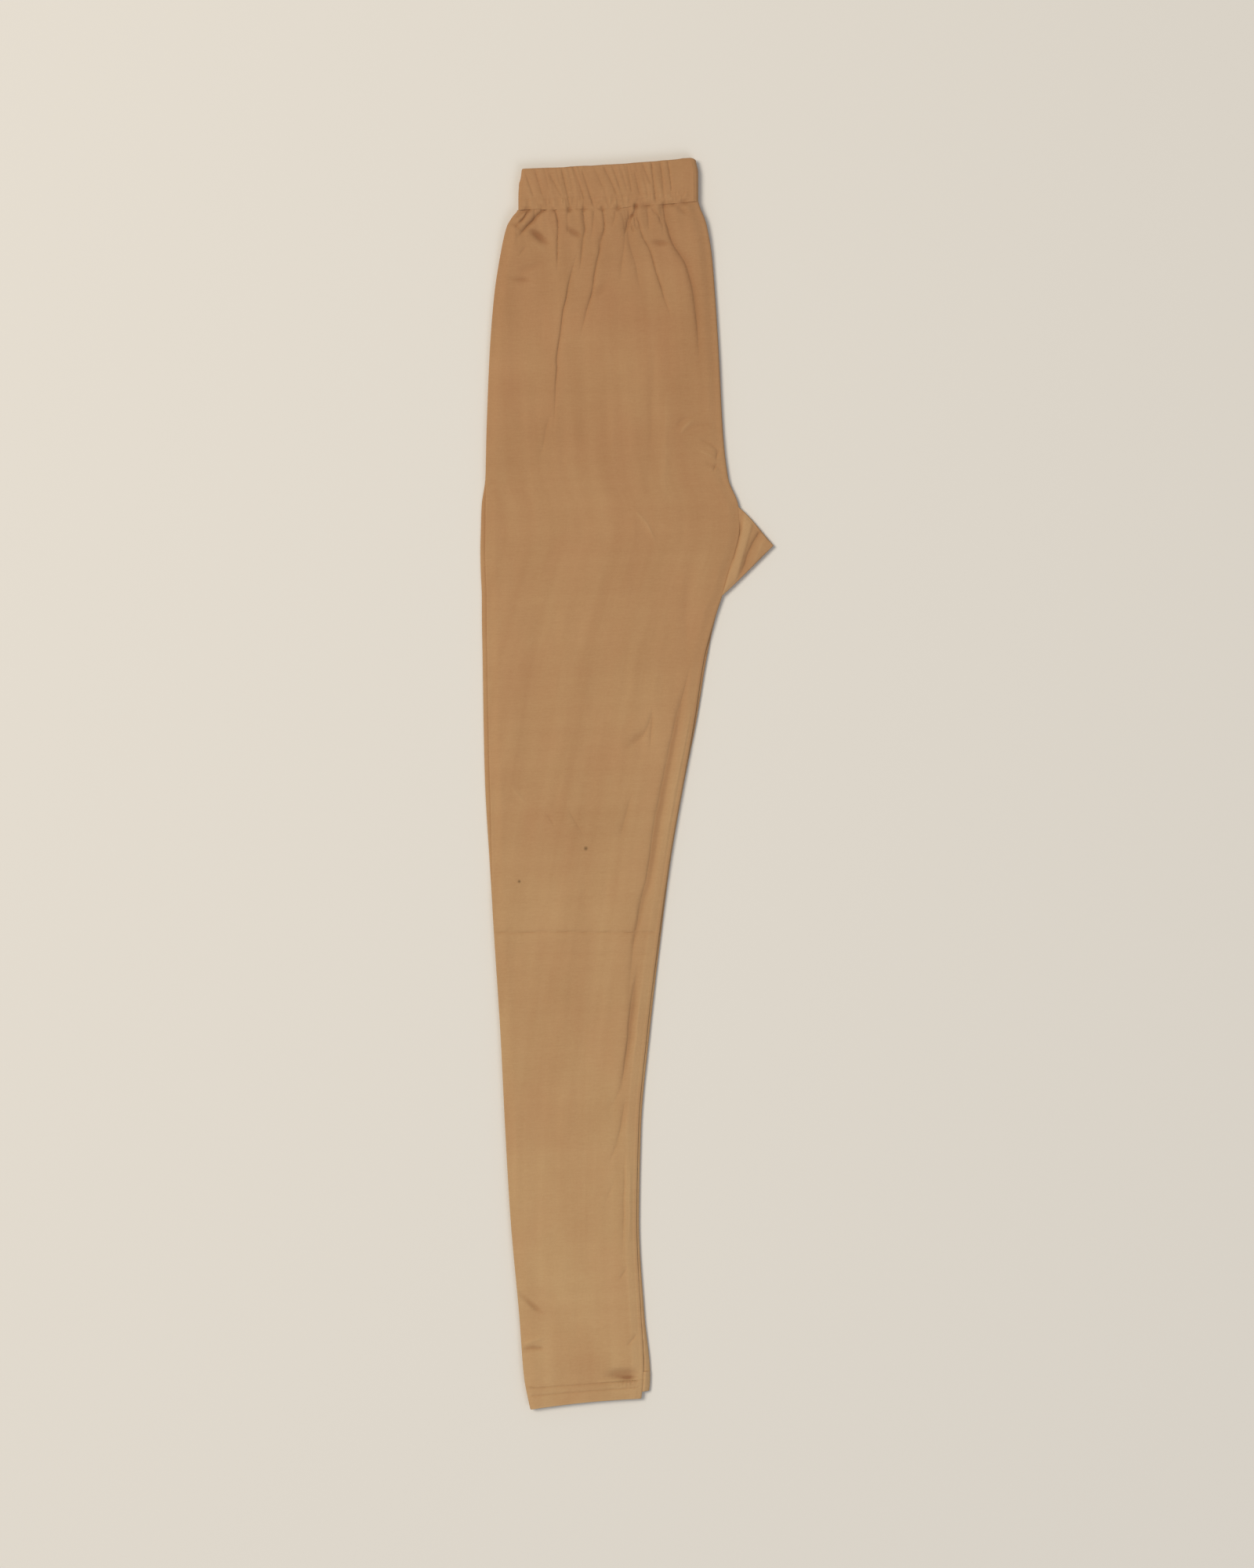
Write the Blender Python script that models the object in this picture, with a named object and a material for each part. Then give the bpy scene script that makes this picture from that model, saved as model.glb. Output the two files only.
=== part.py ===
"""A pair of leggings, folded in half down the middle and laid flat, one leg on the other.

Lengths are in millimetres, and a mesh is turned to metres when it is made. +X is to the right of the
folded garment as it is seen from above, +Y is towards the waist and +Z is up from the surface that it
lies on. The origin is on that surface, under the middle of the garment's outline.

"down" is the distance from the waistband's highest point towards the hems, and "from_band" is the
distance down a leg from the foot of the waistband. The four plies of the folded cloth are numbered
from 0, which lies on the surface, to 3, which is seen from above.
"""

import math
from collections import namedtuple

import bmesh
import bpy
import numpy as np

MM = 0.001

# Driving dimensions
OVERALL_LENGTH = 1067.0
LEG_LENGTH = 1003.0
HEM_DEPTH_LEFT = 19.0
HEM_DEPTH_RIGHT = 16.6
BAND_TOP_LEFT = 9.4
BAND_FOOT_LEFT = 44.4
BAND_FOOT_RIGHT = 37.4
LOWER_LEG_SHORTER = 6.5

CLOTH_WALL = 1.1
HEM_WALL = 1.5
BAND_WALL = 2.2
PLY_GAP = 0.3
SEAM_GAP = 0.3

# Each ply lies one pitch above the next one down. The stack is thicker at the waistband and the hems.
BODY_PITCH = CLOTH_WALL + PLY_GAP
BAND_PITCH = BAND_WALL + PLY_GAP
HEM_PITCH = HEM_WALL + PLY_GAP
BAND_RISE_LENGTH = 62.0
HEM_RISE_START = 955.0
HEM_RISE_LENGTH = 32.0

INSEAM_ROLL = 1.6
INNER_PLY_INSET = 3.2
BAND_OUTER_TURN = 3.2
BAND_INNER_INSET = 5.6

# The outline, seen from above. The steps say how far the lower leg shows past the upper one at each
# side: where one is negative, the lower leg ends that far inside it.
Outline = namedtuple("Outline", "down left right left_step right_step")
OUTLINE = [
    Outline(38.0, -92.6, 61.0, 0.0, 0.0),
    Outline(44.6, -93.4, 63.2, 0.0, 0.0),
    Outline(50.0, -97.5, 66.0, 0.0, 0.6),
    Outline(58.5, -102.5, 68.6, -0.6, 2.2),
    Outline(82.0, -108.0, 72.5, -0.8, 3.0),
    Outline(115.5, -113.2, 75.3, -0.8, 3.0),
    Outline(165.5, -117.2, 78.5, -0.8, 3.0),
    Outline(232.5, -119.9, 82.0, -0.6, 3.0),
    Outline(272.5, -121.0, 86.6, 0.4, 1.8),
    Outline(296.6, -124.2, 95.2, 3.4, 0.0),
    Outline(335.0, -125.2, 88.2, 4.0, 0.0),
    Outline(373.4, -124.0, 81.2, 4.0, 0.0),
    Outline(392.8, -123.9, 75.2, 4.0, 0.4),
    Outline(426.2, -123.3, 68.0, 3.9, 3.2),
    Outline(479.6, -122.5, 59.2, 4.0, 1.6),
    Outline(533.0, -121.2, 48.6, 4.0, 0.7),
    Outline(600.0, -117.3, 37.0, 1.8, 0.8),
    Outline(666.7, -113.2, 28.4, -0.8, 2.6),
    Outline(746.8, -108.0, 19.2, -1.2, 3.3),
    Outline(827.0, -104.0, 12.0, -1.2, 3.3),
    Outline(907.0, -99.2, 10.4, -1.2, 2.6),
    Outline(987.3, -91.9, 15.0, -1.2, 3.0),
    Outline(1038.7, -87.9, 19.8, -1.2, 5.6),
    Outline(1067.0, -82.5, 17.2, -1.2, 6.2),
]

# The crotch gusset is a diamond folded in four: its middle is the tip, and its seam lies on the legs.
GUSSET_TIP = (125.2, 330.0)
GUSSET_SEAM_DOWN = (296.6, 373.4)
GUSSET_DIVISIONS = 12
# How far the gusset's edge is drawn in at each height: round one thick fold, or round two folds.
GussetEdge = namedtuple("GussetEdge", "height_share fold_inset inseam_inset")
GUSSET_EDGE = [
    GussetEdge(0.00, 1.1, 0.8),
    GussetEdge(0.12, 0.4, 0.1),
    GussetEdge(0.25, 0.1, 0.0),
    GussetEdge(0.38, 0.0, 0.1),
    GussetEdge(0.50, 0.0, 0.9),
    GussetEdge(0.62, 0.0, 0.1),
    GussetEdge(0.75, 0.1, 0.0),
    GussetEdge(0.88, 0.4, 0.1),
    GussetEdge(1.00, 1.1, 0.8),
]

# Folds and creases of the visible ply: from the start to the end, with the middle bowed aside to the
# right of that direction. A positive height is a ridge and a negative one a trough. Those that begin
# at the waistband are at full height there.
Fold = namedtuple("Fold", "start_x start_down end_x end_down bow width height at_band")
FOLDS = [
    Fold(-72, 43, -90, 60, 0, 3.5, -1.5, True),
    Fold(-61, 42, -60, 101, -1.5, 3.5, -1.5, True),
    Fold(-36, 42, -41, 94, -1.5, 4.0, -1.6, True),
    Fold(-45, 84, -64, 230, 3.0, 5.5, -1.5, False),
    Fold(-20, 41, -44, 172, -3.5, 5.0, -1.7, True),
    Fold(-6, 41, -6, 90, -3.5, 4.5, -1.5, True),
    Fold(2, 49, 18, 127, 4.0, 9.0, -1.6, True),
    Fold(9, 41, 40, 137, 1.5, 4.5, -1.9, True),
    Fold(31, 40, 63, 173, -6.5, 7.0, -1.9, True),
    Fold(25, 172, 18, 295, 0, 11.0, -1.0, False),
    Fold(33, 199, 33, 300, 0, 9.0, 0.8, False),
    Fold(54, 430, 9, 651, -1.5, 6.5, -1.7, False),
    Fold(62, 433, 22, 653, -1.5, 9.0, 0.9, False),
    Fold(20, 476, 0, 504, -2.0, 8.0, -1.2, False),
    Fold(4, 545, -7, 582, -2.5, 9.0, -0.9, False),
    Fold(8, 693, -24, 812, -9.0, 6.0, -1.6, False),
    Fold(-2, 803, -16, 858, -3.0, 5.5, -1.3, False),
    Fold(-2, 852, -4, 936, 0, 5.5, -0.8, False),
    Fold(4, 700, 3, 935, -2.0, 6.5, 0.8, False),
    Fold(-90, 969, -74, 983, 0, 4.5, -1.2, False),
    Fold(-86, 1015, -70, 1015, 0, 3.5, -1.2, False),
    Fold(-18, 1033, 5, 1031, 0, 6.5, -1.5, False),
]
REST_PUFF = 0.9
BAND_PUFF = 1.3
RELIEF_LIMIT = 4.0
EDGE_FADE = 9.0

# Gathers: the elastic draws the cloth into waves that run down from the band and die away.
GATHER_PITCH = 9.6
GATHER_HEIGHT = 1.5
GATHER_FADE = 34.0
GATHER_UNEVEN = 2.1
GATHER_UNEVEN_LENGTH = 47.0

# The band's own waves lean, and stop short of the smooth stretch where the casing is joined.
BAND_GATHER_PITCH = 7.7
BAND_GATHER_HEIGHT = 0.9
BAND_GATHER_LEAN = 0.28
BAND_SMOOTH_FROM = 35.0
BAND_STITCH_DEPTH = 25.0
BAND_STITCH_WIDTH = 2.2
BAND_TOP_SAG = 1.2

ROLL_STEPS = 3
FOLD_STEPS = 4
INNER_COLUMNS = 3
LOWER_COLUMNS = 4
SECTION_SPREAD = 1.35
UPPER_SECTIONS = 46
LOWER_SECTIONS = 28
BAND_COLUMNS = 76
HEM_COLUMNS = 18
# Each row is a share of the hem's depth and of its wall: the free end is rounded.
HEM_PROFILE = [(0.0, 1.0), (0.33, 1.0), (0.66, 1.0), (0.96, 1.0), (1.0, 0.6)]

CLOTH_COLOUR = (0.462, 0.273, 0.128, 1.0)
GUSSET_COLOUR = (0.470, 0.285, 0.130, 1.0)
BAND_COLOUR = (0.430, 0.255, 0.121, 1.0)
HEM_COLOUR = (0.475, 0.290, 0.137, 1.0)
CLOTH_ROUGHNESS = 0.85

Section = namedtuple("Section", "outer inner marks")
Leg = namedtuple("Leg", "side length outer_ply inner_ply has_folds")
UPPER = Leg("upper", LEG_LENGTH, 3, 2, True)
LOWER = Leg("lower", LEG_LENGTH - LOWER_LEG_SHORTER, 0, 1, False)


def ramp(share):
    """0 to 1 along a smooth step."""
    share = np.clip(share, 0.0, 1.0)
    return share * share * (3.0 - 2.0 * share)


def smooth_curve(at, xs, ys):
    """The smooth curve through a table's points, which never swings past them (a monotone cubic)."""
    xs, ys = np.asarray(xs, float), np.asarray(ys, float)
    steps = np.diff(xs)
    slopes = np.diff(ys) / steps
    before, after = slopes[:-1], slopes[1:]
    same_way = before * after > 0
    total = np.where(same_way, before + after, 1.0)
    middle = np.where(same_way, 2.0 * before * after / total, 0.0)
    tangents = np.concatenate([slopes[:1], middle, slopes[-1:]])
    at = np.asarray(at, float)
    k = np.clip(np.searchsorted(xs, at) - 1, 0, len(steps) - 1)
    t = (at - xs[k]) / steps[k]
    rise = t * t * (3.0 - 2.0 * t)
    start_pull = t * (1.0 - t) ** 2 * steps[k] * tangents[k]
    end_pull = t * t * (t - 1.0) * steps[k] * tangents[k + 1]
    return ys[k] + (ys[k + 1] - ys[k]) * rise + start_pull + end_pull


def outline_at(down, column):
    return smooth_curve(down, [row.down for row in OUTLINE], [getattr(row, column) for row in OUTLINE])


def leg_edge(side, end, down):
    """Where a leg's left or right edge is, this far down."""
    step = outline_at(down, end + "_step")
    inset = np.maximum(step, 0.0) if side == "upper" else np.maximum(-step, 0.0)
    return outline_at(down, end) + (inset if end == "left" else -inset)


def ply_pitch(from_band):
    band_share = 1.0 - ramp(np.asarray(from_band) / BAND_RISE_LENGTH)
    hem_share = ramp((np.asarray(from_band) - HEM_RISE_START) / HEM_RISE_LENGTH)
    return BODY_PITCH + (BAND_PITCH - BODY_PITCH) * band_share + (HEM_PITCH - BODY_PITCH) * hem_share


def seam_share(right_down):
    """1 where the leg is sewn to the gusset and its edge stays flat, 0 where its edge rolls over."""
    top, foot = GUSSET_SEAM_DOWN
    return ramp((right_down - top + 8.0) / 8.0) * ramp((foot + 8.0 - right_down) / 8.0)


def fold_height(x, down, fold):
    """A rounded ridge or trough along a bowed line, fading at its ends."""
    run_x, run_down = fold.end_x - fold.start_x, fold.end_down - fold.start_down
    length = math.hypot(run_x, run_down)
    along = ((x - fold.start_x) * run_x + (down - fold.start_down) * run_down) / length**2
    across = ((x - fold.start_x) * run_down - (down - fold.start_down) * run_x) / length
    bowed = 4.0 * fold.bow * along * (1.0 - along)
    start_fade = np.ones_like(along) if fold.at_band else ramp(along / 0.25)
    fade = start_fade * ramp((1.0 - along) / 0.45)
    return fold.height * fade * np.exp(-(((across + bowed) / fold.width) ** 2))


def gather_wave(x, pitch, uneven, uneven_length):
    """Waves from 0 to 1, with their spacing drawn a little uneven."""
    warped = x + uneven * np.sin(2.0 * math.pi * x / uneven_length)
    return 0.5 - 0.5 * np.cos(2.0 * math.pi * warped / pitch)


def leg_relief(x, down, from_band, left, right):
    """How far the visible ply stands above its level: loft at rest, gathers at the band and folds."""
    height = REST_PUFF + BAND_PUFF * np.exp(-((from_band / 60.0) ** 2)) + np.zeros_like(x)
    gathers = gather_wave(x, GATHER_PITCH, GATHER_UNEVEN, GATHER_UNEVEN_LENGTH)
    height += GATHER_HEIGHT * (gathers - 0.5) * np.exp(-((from_band / GATHER_FADE) ** 2))
    for fold in FOLDS:
        height += fold_height(x, down, fold)
    edge = ramp((x - left) / EDGE_FADE) * ramp((right - x) / EDGE_FADE)
    return np.clip(height, 0.0, RELIEF_LIMIT) * edge


def offset_walls(x, z, wall, closed, outward):
    """The two faces of a cloth of this thickness whose middle runs through the points."""
    if closed:
        run_x = np.roll(x, -1) - np.roll(x, 1)
        run_z = np.roll(z, -1) - np.roll(z, 1)
    else:
        run_x, run_z = np.gradient(x), np.gradient(z)
    length = np.hypot(run_x, run_z)
    normal_x, normal_z = -outward * run_z / length, outward * run_x / length
    half = wall / 2.0
    return (x + half * normal_x, z + half * normal_z), (x - half * normal_x, z - half * normal_z)


def section_points(x, z, lift, left_point, right_point):
    """Places a section's points on the slanting line from the leg's left edge to its right edge."""
    share = (x - left_point[0]) / (right_point[0] - left_point[0])
    down = left_point[1] + share * (right_point[1] - left_point[1])
    return np.column_stack([x, OVERALL_LENGTH / 2.0 - down, z + lift])


def leg_section(leg, from_band, wall, columns, left_down, right_down):
    """One section of a leg: from the inseam edge over the outer ply, round the side fold and back.

    The points of the middle of the cloth are a quarter of an ellipse at the inseam, the straight
    outer ply, half a circle at the side fold, and the straight inner ply.
    """
    left, right = leg_edge(leg.side, "left", left_down), leg_edge(leg.side, "right", right_down)
    pitch = float(ply_pitch(from_band))
    outer_z = leg.outer_ply * pitch + wall / 2.0
    inner_z = leg.inner_ply * pitch + wall / 2.0
    radius = abs(outer_z - inner_z) / 2.0
    edge_z = 2.0 * pitch if leg is UPPER else 2.0 * pitch - PLY_GAP
    edge_z += (outer_z - edge_z) * 0.8 * seam_share(right_down)

    turn = np.linspace(0.0, math.pi / 2.0, ROLL_STEPS + 1)[:-1]
    roll_x = right - wall / 2.0 - INSEAM_ROLL * (1.0 - np.cos(turn))
    roll_z = edge_z + (outer_z - edge_z) * np.sin(turn)

    outer_start, outer_end = right - wall / 2.0 - INSEAM_ROLL, left + wall / 2.0 + radius
    ply_x = np.linspace(outer_start, outer_end, columns + 1)
    ply_z = np.full(columns + 1, outer_z)

    turn = np.linspace(0.0, math.pi, FOLD_STEPS + 1)[1:]
    fold_x = outer_end - radius * np.sin(turn)
    fold_z = (outer_z + inner_z) / 2.0 + (outer_z - inner_z) / 2.0 * np.cos(turn)

    inner_x = np.linspace(outer_end, right - INNER_PLY_INSET, INNER_COLUMNS + 1)[1:]
    inner_z = np.full(INNER_COLUMNS, inner_z)

    x = np.concatenate([roll_x, ply_x, fold_x, inner_x])
    z = np.concatenate([roll_z, ply_z, fold_z, inner_z])
    marks = np.concatenate(
        [
            np.linspace(0.0, 0.1, ROLL_STEPS, endpoint=False),
            np.linspace(0.1, 0.7, columns + 1),
            np.linspace(0.7, 0.8, FOLD_STEPS + 1)[1:],
            np.linspace(0.8, 1.0, INNER_COLUMNS + 1)[1:],
        ]
    )
    lift = np.zeros_like(x)
    if leg.has_folds:
        on_ply = slice(ROLL_STEPS, ROLL_STEPS + columns + 1)
        share = (ply_x - left) / (right - left)
        down = left_down + share * (right_down - left_down)
        lift[on_ply] = leg_relief(ply_x, down, from_band, outer_end, outer_start)

    outward = -1.0 if leg is UPPER else 1.0
    outer, inner = offset_walls(x, z, wall, False, outward)
    ends = (left, left_down), (right, right_down)
    return Section(
        section_points(*outer, lift, *ends),
        section_points(*inner, lift, *ends),
        marks,
    )


def strip(faces, low, high, low_marks, high_marks):
    """Triangles between two rows of points, taken in the order of their marks along the section."""
    i = j = 0
    while i < len(low) - 1 or j < len(high) - 1:
        low_left, high_left = i < len(low) - 1, j < len(high) - 1
        if low_left and (not high_left or low_marks[i + 1] <= high_marks[j + 1]):
            faces.append((low[i], low[i + 1], high[j]))
            i += 1
        else:
            faces.append((low[i], high[j + 1], high[j]))
            j += 1


def cloth_solid(name, sections, closed, material):
    """A closed wall of cloth: its outer and inner faces, and the rims that join them."""
    points, outer_rows, inner_rows = [], [], []
    count = 0
    for rows, side in ((outer_rows, "outer"), (inner_rows, "inner")):
        for section in sections:
            ring = getattr(section, side)
            rows.append(list(range(count, count + len(ring))))
            points.append(ring)
            count += len(ring)
    faces = []
    for k in range(len(sections) - 1):
        low_marks, high_marks = sections[k].marks, sections[k + 1].marks
        strip(faces, outer_rows[k], outer_rows[k + 1], low_marks, high_marks)
        strip(faces, inner_rows[k], inner_rows[k + 1], low_marks, high_marks)
        ends = (-1,) if closed else (0, -1)
        for end in ends:
            outer_edge = (outer_rows[k][end], outer_rows[k + 1][end])
            inner_edge = (inner_rows[k][end], inner_rows[k + 1][end])
            if closed:
                for rows in (outer_rows, inner_rows):
                    faces.append((rows[k][-1], rows[k][0], rows[k + 1][0], rows[k + 1][-1]))
            else:
                faces.append((*outer_edge, *inner_edge[::-1]))
    for k in (0, -1):
        outer_ring, inner_ring = outer_rows[k], inner_rows[k]
        last = len(outer_ring) if closed else len(outer_ring) - 1
        for i in range(last):
            j = (i + 1) % len(outer_ring)
            faces.append((outer_ring[i], outer_ring[j], inner_ring[j], inner_ring[i]))
    return solid_object(name, np.vstack(points), faces, material)


def solid_object(name, points, faces, material):
    mesh = bpy.data.meshes.new(name)
    mesh.from_pydata((points * MM).tolist(), [], faces)
    work = bmesh.new()
    work.from_mesh(mesh)
    bmesh.ops.recalc_face_normals(work, faces=work.faces)
    work.to_mesh(mesh)
    work.free()
    mesh.shade_smooth()
    mesh.set_sharp_from_angle(angle=math.radians(50.0))
    mesh.materials.append(material)
    made = bpy.data.objects.new(name, mesh)
    bpy.context.scene.collection.objects.link(made)
    return made


def cloth_material(name, colour):
    material = bpy.data.materials.new(name)
    material.use_nodes = True
    shader = material.node_tree.nodes["Principled BSDF"]
    shader.inputs["Base Color"].default_value = colour
    shader.inputs["Roughness"].default_value = CLOTH_ROUGHNESS
    shader.inputs["Metallic"].default_value = 0.0
    return material


def left_down_at(from_band):
    return BAND_FOOT_LEFT + SEAM_GAP + from_band


def right_down_at(from_band):
    return BAND_FOOT_RIGHT + SEAM_GAP + from_band


def section_places(length, count):
    """Places down the leg, closer together near the band, with one at each end of the gusset's seam."""
    places = length * np.linspace(0.0, 1.0, count + 1) ** SECTION_SPREAD
    for seam_down in GUSSET_SEAM_DOWN:
        wanted = seam_down - right_down_at(0.0)
        places[np.argmin(np.abs(places - wanted))] = wanted
    return places


def upper_columns(from_band):
    """How many columns the visible ply has: most at the gathers."""
    if from_band < 75.0:
        return 64
    return 36 if from_band < 330.0 else 24


def make_leg(leg, name, count, material):
    sections = []
    for from_band in section_places(leg.length, count):
        columns = upper_columns(from_band) if leg.has_folds else LOWER_COLUMNS
        downs = left_down_at(from_band), right_down_at(from_band)
        sections.append(leg_section(leg, from_band, CLOTH_WALL, columns, *downs))
    return cloth_solid(name, sections, False, material)


def make_hem(leg, name, material):
    """A turned-up hem: the leg's own section carried on, thicker, to a rounded end."""
    start = leg.length + SEAM_GAP
    sections = []
    for place, wall_share in HEM_PROFILE:
        left_down = left_down_at(start) + place * HEM_DEPTH_LEFT
        right_down = right_down_at(start) + place * HEM_DEPTH_RIGHT
        section = leg_section(leg, start, HEM_WALL, HEM_COLUMNS, left_down, right_down)
        sections.append(thinned(section, wall_share))
    return cloth_solid(name, sections, False, material)


def thinned(section, share):
    """The same section with its two faces drawn towards each other."""
    middle = (section.outer + section.inner) / 2.0
    outer = middle + (section.outer - middle) * share
    inner = middle + (section.inner - middle) * share
    return Section(outer, inner, section.marks)


def band_path(left, right):
    """The middle of the band's cloth: a closed loop folded in half, from the top ply leftwards."""
    level = [ply * BAND_PITCH + BAND_WALL / 2.0 for ply in range(4)]
    half_fold, half_wall = BAND_PITCH / 2.0, BAND_WALL / 2.0
    fold_left = left + half_wall + half_fold
    outer_right = right - half_wall - BAND_OUTER_TURN
    inner_right = right - BAND_INNER_INSET

    def run(start, end, steps, height):
        return [(x, height) for x in np.linspace(start, end, steps + 1)]

    def turn(centre, from_level, to_level, reach, way):
        middle, half = (from_level + to_level) / 2.0, (from_level - to_level) / 2.0
        angles = np.linspace(0.0, math.pi, FOLD_STEPS + 1)[1:-1]
        return [(centre + way * reach * math.sin(a), middle + half * math.cos(a)) for a in angles]

    path = run(outer_right, fold_left, BAND_COLUMNS, level[3])
    path += turn(fold_left, level[3], level[2], half_fold, -1)
    path += run(fold_left, inner_right, INNER_COLUMNS, level[2])
    path += turn(inner_right, level[2], level[1], half_fold, 1)
    path += run(inner_right, fold_left, INNER_COLUMNS, level[1])
    path += turn(fold_left, level[1], level[0], half_fold, -1)
    path += run(fold_left, outer_right, INNER_COLUMNS, level[0])
    path += turn(outer_right, level[0], level[3], BAND_OUTER_TURN, 1)
    return np.array(path)


def band_relief(x, depth, left, right):
    """The band's leaning waves, pressed flat along its row of stitches and where it is joined."""
    waves = gather_wave(x - BAND_GATHER_LEAN * depth, BAND_GATHER_PITCH, 1.6, 53.0)
    gathered = ramp((BAND_SMOOTH_FROM - x) / 6.0)
    pressed = 1.0 - 0.75 * np.exp(-(((depth - BAND_STITCH_DEPTH) / BAND_STITCH_WIDTH) ** 2))
    edge = ramp((x - left) / EDGE_FADE) * ramp((right - x) / EDGE_FADE)
    return BAND_GATHER_HEIGHT * waves * gathered * pressed * edge


def make_waistband(material):
    """The elastic casing: sections of the folded loop, one at each depth below its top edge."""
    depths = [0.0, 0.6, 6.0, 12.0, 18.0, 22.5, BAND_STITCH_DEPTH, 27.5, 31.5, 34.4, 35.0]
    thin = {0.0: 0.5, 35.0: 0.7}
    sections = []
    for depth in depths:
        share = depth / depths[-1]
        left_down = BAND_TOP_LEFT + share * (BAND_FOOT_LEFT - BAND_TOP_LEFT)
        right_down = share * BAND_FOOT_RIGHT
        left = -89.9 - 2.7 * ramp(share * 1.6)
        right = 58.6 + 2.2 * ramp(share * 3.0)
        x, z = band_path(left, right).T
        top_ply = np.arange(len(x)) <= BAND_COLUMNS
        lift = np.where(top_ply, band_relief(x, depth, left, right), 0.0)
        outer, inner = offset_walls(x, z, BAND_WALL, True, -1.0)
        ends = (left, left_down), (right, right_down)
        rings = [section_points(*face, lift, *ends) for face in (outer, inner)]
        sag = BAND_TOP_SAG * (1.0 - share) * np.sin(math.pi * np.clip((x - left) / (right - left), 0, 1))
        for ring in rings:
            ring[:, 1] -= sag
        section = Section(*rings, np.linspace(0.0, 1.0, len(x)))
        sections.append(thinned(section, thin.get(depth, 1.0)))
    return cloth_solid("waistband", sections, True, material)


def triangle_grid(corners, divisions):
    """Points of an even grid over a triangle, with its faces and the loop of points round its edge."""
    a, b, c = (np.asarray(corner, float) for corner in corners)
    index, points = {}, []
    for i in range(divisions + 1):
        for j in range(divisions + 1 - i):
            index[i, j] = len(points)
            points.append(a + (b - a) * i / divisions + (c - a) * j / divisions)
    faces = []
    for i in range(divisions):
        for j in range(divisions - i):
            faces.append((index[i, j], index[i + 1, j], index[i, j + 1]))
            if i + j < divisions - 1:
                faces.append((index[i + 1, j], index[i + 1, j + 1], index[i, j + 1]))
    loop = [(i, 0) for i in range(divisions)]
    loop += [(divisions - j, j) for j in range(divisions)]
    loop += [(0, divisions - j) for j in range(divisions)]
    return np.array(points), faces, [index[place] for place in loop]


def gusset_relief(x, down):
    """Two soft ridges beside the seam, running down the gusset from its upper edge."""
    folds = [
        Fold(112, 302, 86, 366, 2.0, 3.6, 1.9, False),
        Fold(118, 314, 97, 356, 1.5, 3.2, -0.5, False),
        Fold(120, 322, 104, 350, 0.0, 5.0, 0.6, False),
    ]
    return sum(fold_height(x, down, fold) for fold in folds)


def make_gusset(seam_downs, seam_edge, material):
    """The gusset's quarter seen from above, as one folded stack with its layers drawn at the edges.

    A triangular grid makes the top and the underside. Between them, rings of the same edge points,
    drawn in by the table's insets, show one thick fold above the tip and two folds below it.
    """
    top, foot = GUSSET_SEAM_DOWN
    corners = [
        (np.interp(top, seam_downs, seam_edge) + SEAM_GAP, top),
        GUSSET_TIP,
        (np.interp(foot, seam_downs, seam_edge) + SEAM_GAP, foot),
    ]
    grid, grid_faces, loop = triangle_grid(corners, GUSSET_DIVISIONS)
    on_seam = np.zeros(len(grid), bool)
    on_seam[loop[2 * GUSSET_DIVISIONS :]] = True
    on_seam[loop[0]] = True
    grid[on_seam, 0] = np.interp(grid[on_seam, 1], seam_downs, seam_edge) + SEAM_GAP
    middle = grid.mean(axis=0)
    height = 3.0 * BODY_PITCH + CLOTH_WALL
    edge_points = grid[loop]
    fold_edge = np.arange(len(loop)) <= GUSSET_DIVISIONS
    seam_edge_points = on_seam[loop]

    def ring(level):
        inset = np.where(fold_edge, level.fold_inset, level.inseam_inset)
        inset = np.where(seam_edge_points, 0.0, inset)[:, None]
        inward = middle - edge_points
        inward /= np.linalg.norm(inward, axis=1)[:, None]
        flat = edge_points + inward * inset
        return np.column_stack([flat, np.full(len(flat), level.height_share * height)])

    rings = [ring(level) for level in GUSSET_EDGE]
    inside = np.setdiff1d(np.arange(len(grid)), loop)
    points, faces = list(rings), []
    size = len(loop)
    for k in range(len(rings) - 1):
        for i in range(size):
            j = (i + 1) % size
            faces.append((k * size + i, k * size + j, (k + 1) * size + j, (k + 1) * size + i))
    for first_ring, is_top in ((0, False), (len(rings) - 1, True)):
        start = sum(len(block) for block in points)
        flat = grid[inside]
        z = np.zeros(len(inside))
        if is_top:
            z = height + gusset_relief(flat[:, 0], flat[:, 1])
        points.append(np.column_stack([flat, z]))
        where = np.empty(len(grid), int)
        where[loop] = first_ring * size + np.arange(size)
        where[inside] = start + np.arange(len(inside))
        faces += [tuple(where[list(face)]) for face in grid_faces]
    placed = np.vstack(points)
    placed[:, 1] = OVERALL_LENGTH / 2.0 - placed[:, 1]
    return solid_object("crotch_gusset", placed, faces, material)


def clear_scene():
    for old in list(bpy.data.objects):
        bpy.data.objects.remove(old)


def main():
    clear_scene()
    cloth = cloth_material("tan_jersey", CLOTH_COLOUR)
    hem_cloth = cloth_material("hem_jersey", HEM_COLOUR)
    garment = bpy.data.objects.new("folded_leggings", None)
    bpy.context.scene.collection.objects.link(garment)

    seam_places = section_places(UPPER.length, UPPER_SECTIONS)
    seam_downs = right_down_at(seam_places)
    pieces = [
        make_leg(UPPER, "upper_leg", UPPER_SECTIONS, cloth),
        make_leg(LOWER, "lower_leg", LOWER_SECTIONS, cloth),
        make_hem(UPPER, "upper_hem", hem_cloth),
        make_hem(LOWER, "lower_hem", hem_cloth),
        make_waistband(cloth_material("waistband_casing", BAND_COLOUR)),
        make_gusset(
            seam_downs, leg_edge("upper", "right", seam_downs), cloth_material("gusset_jersey", GUSSET_COLOUR)
        ),
    ]
    for piece in pieces:
        piece.parent = garment


main()
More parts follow.
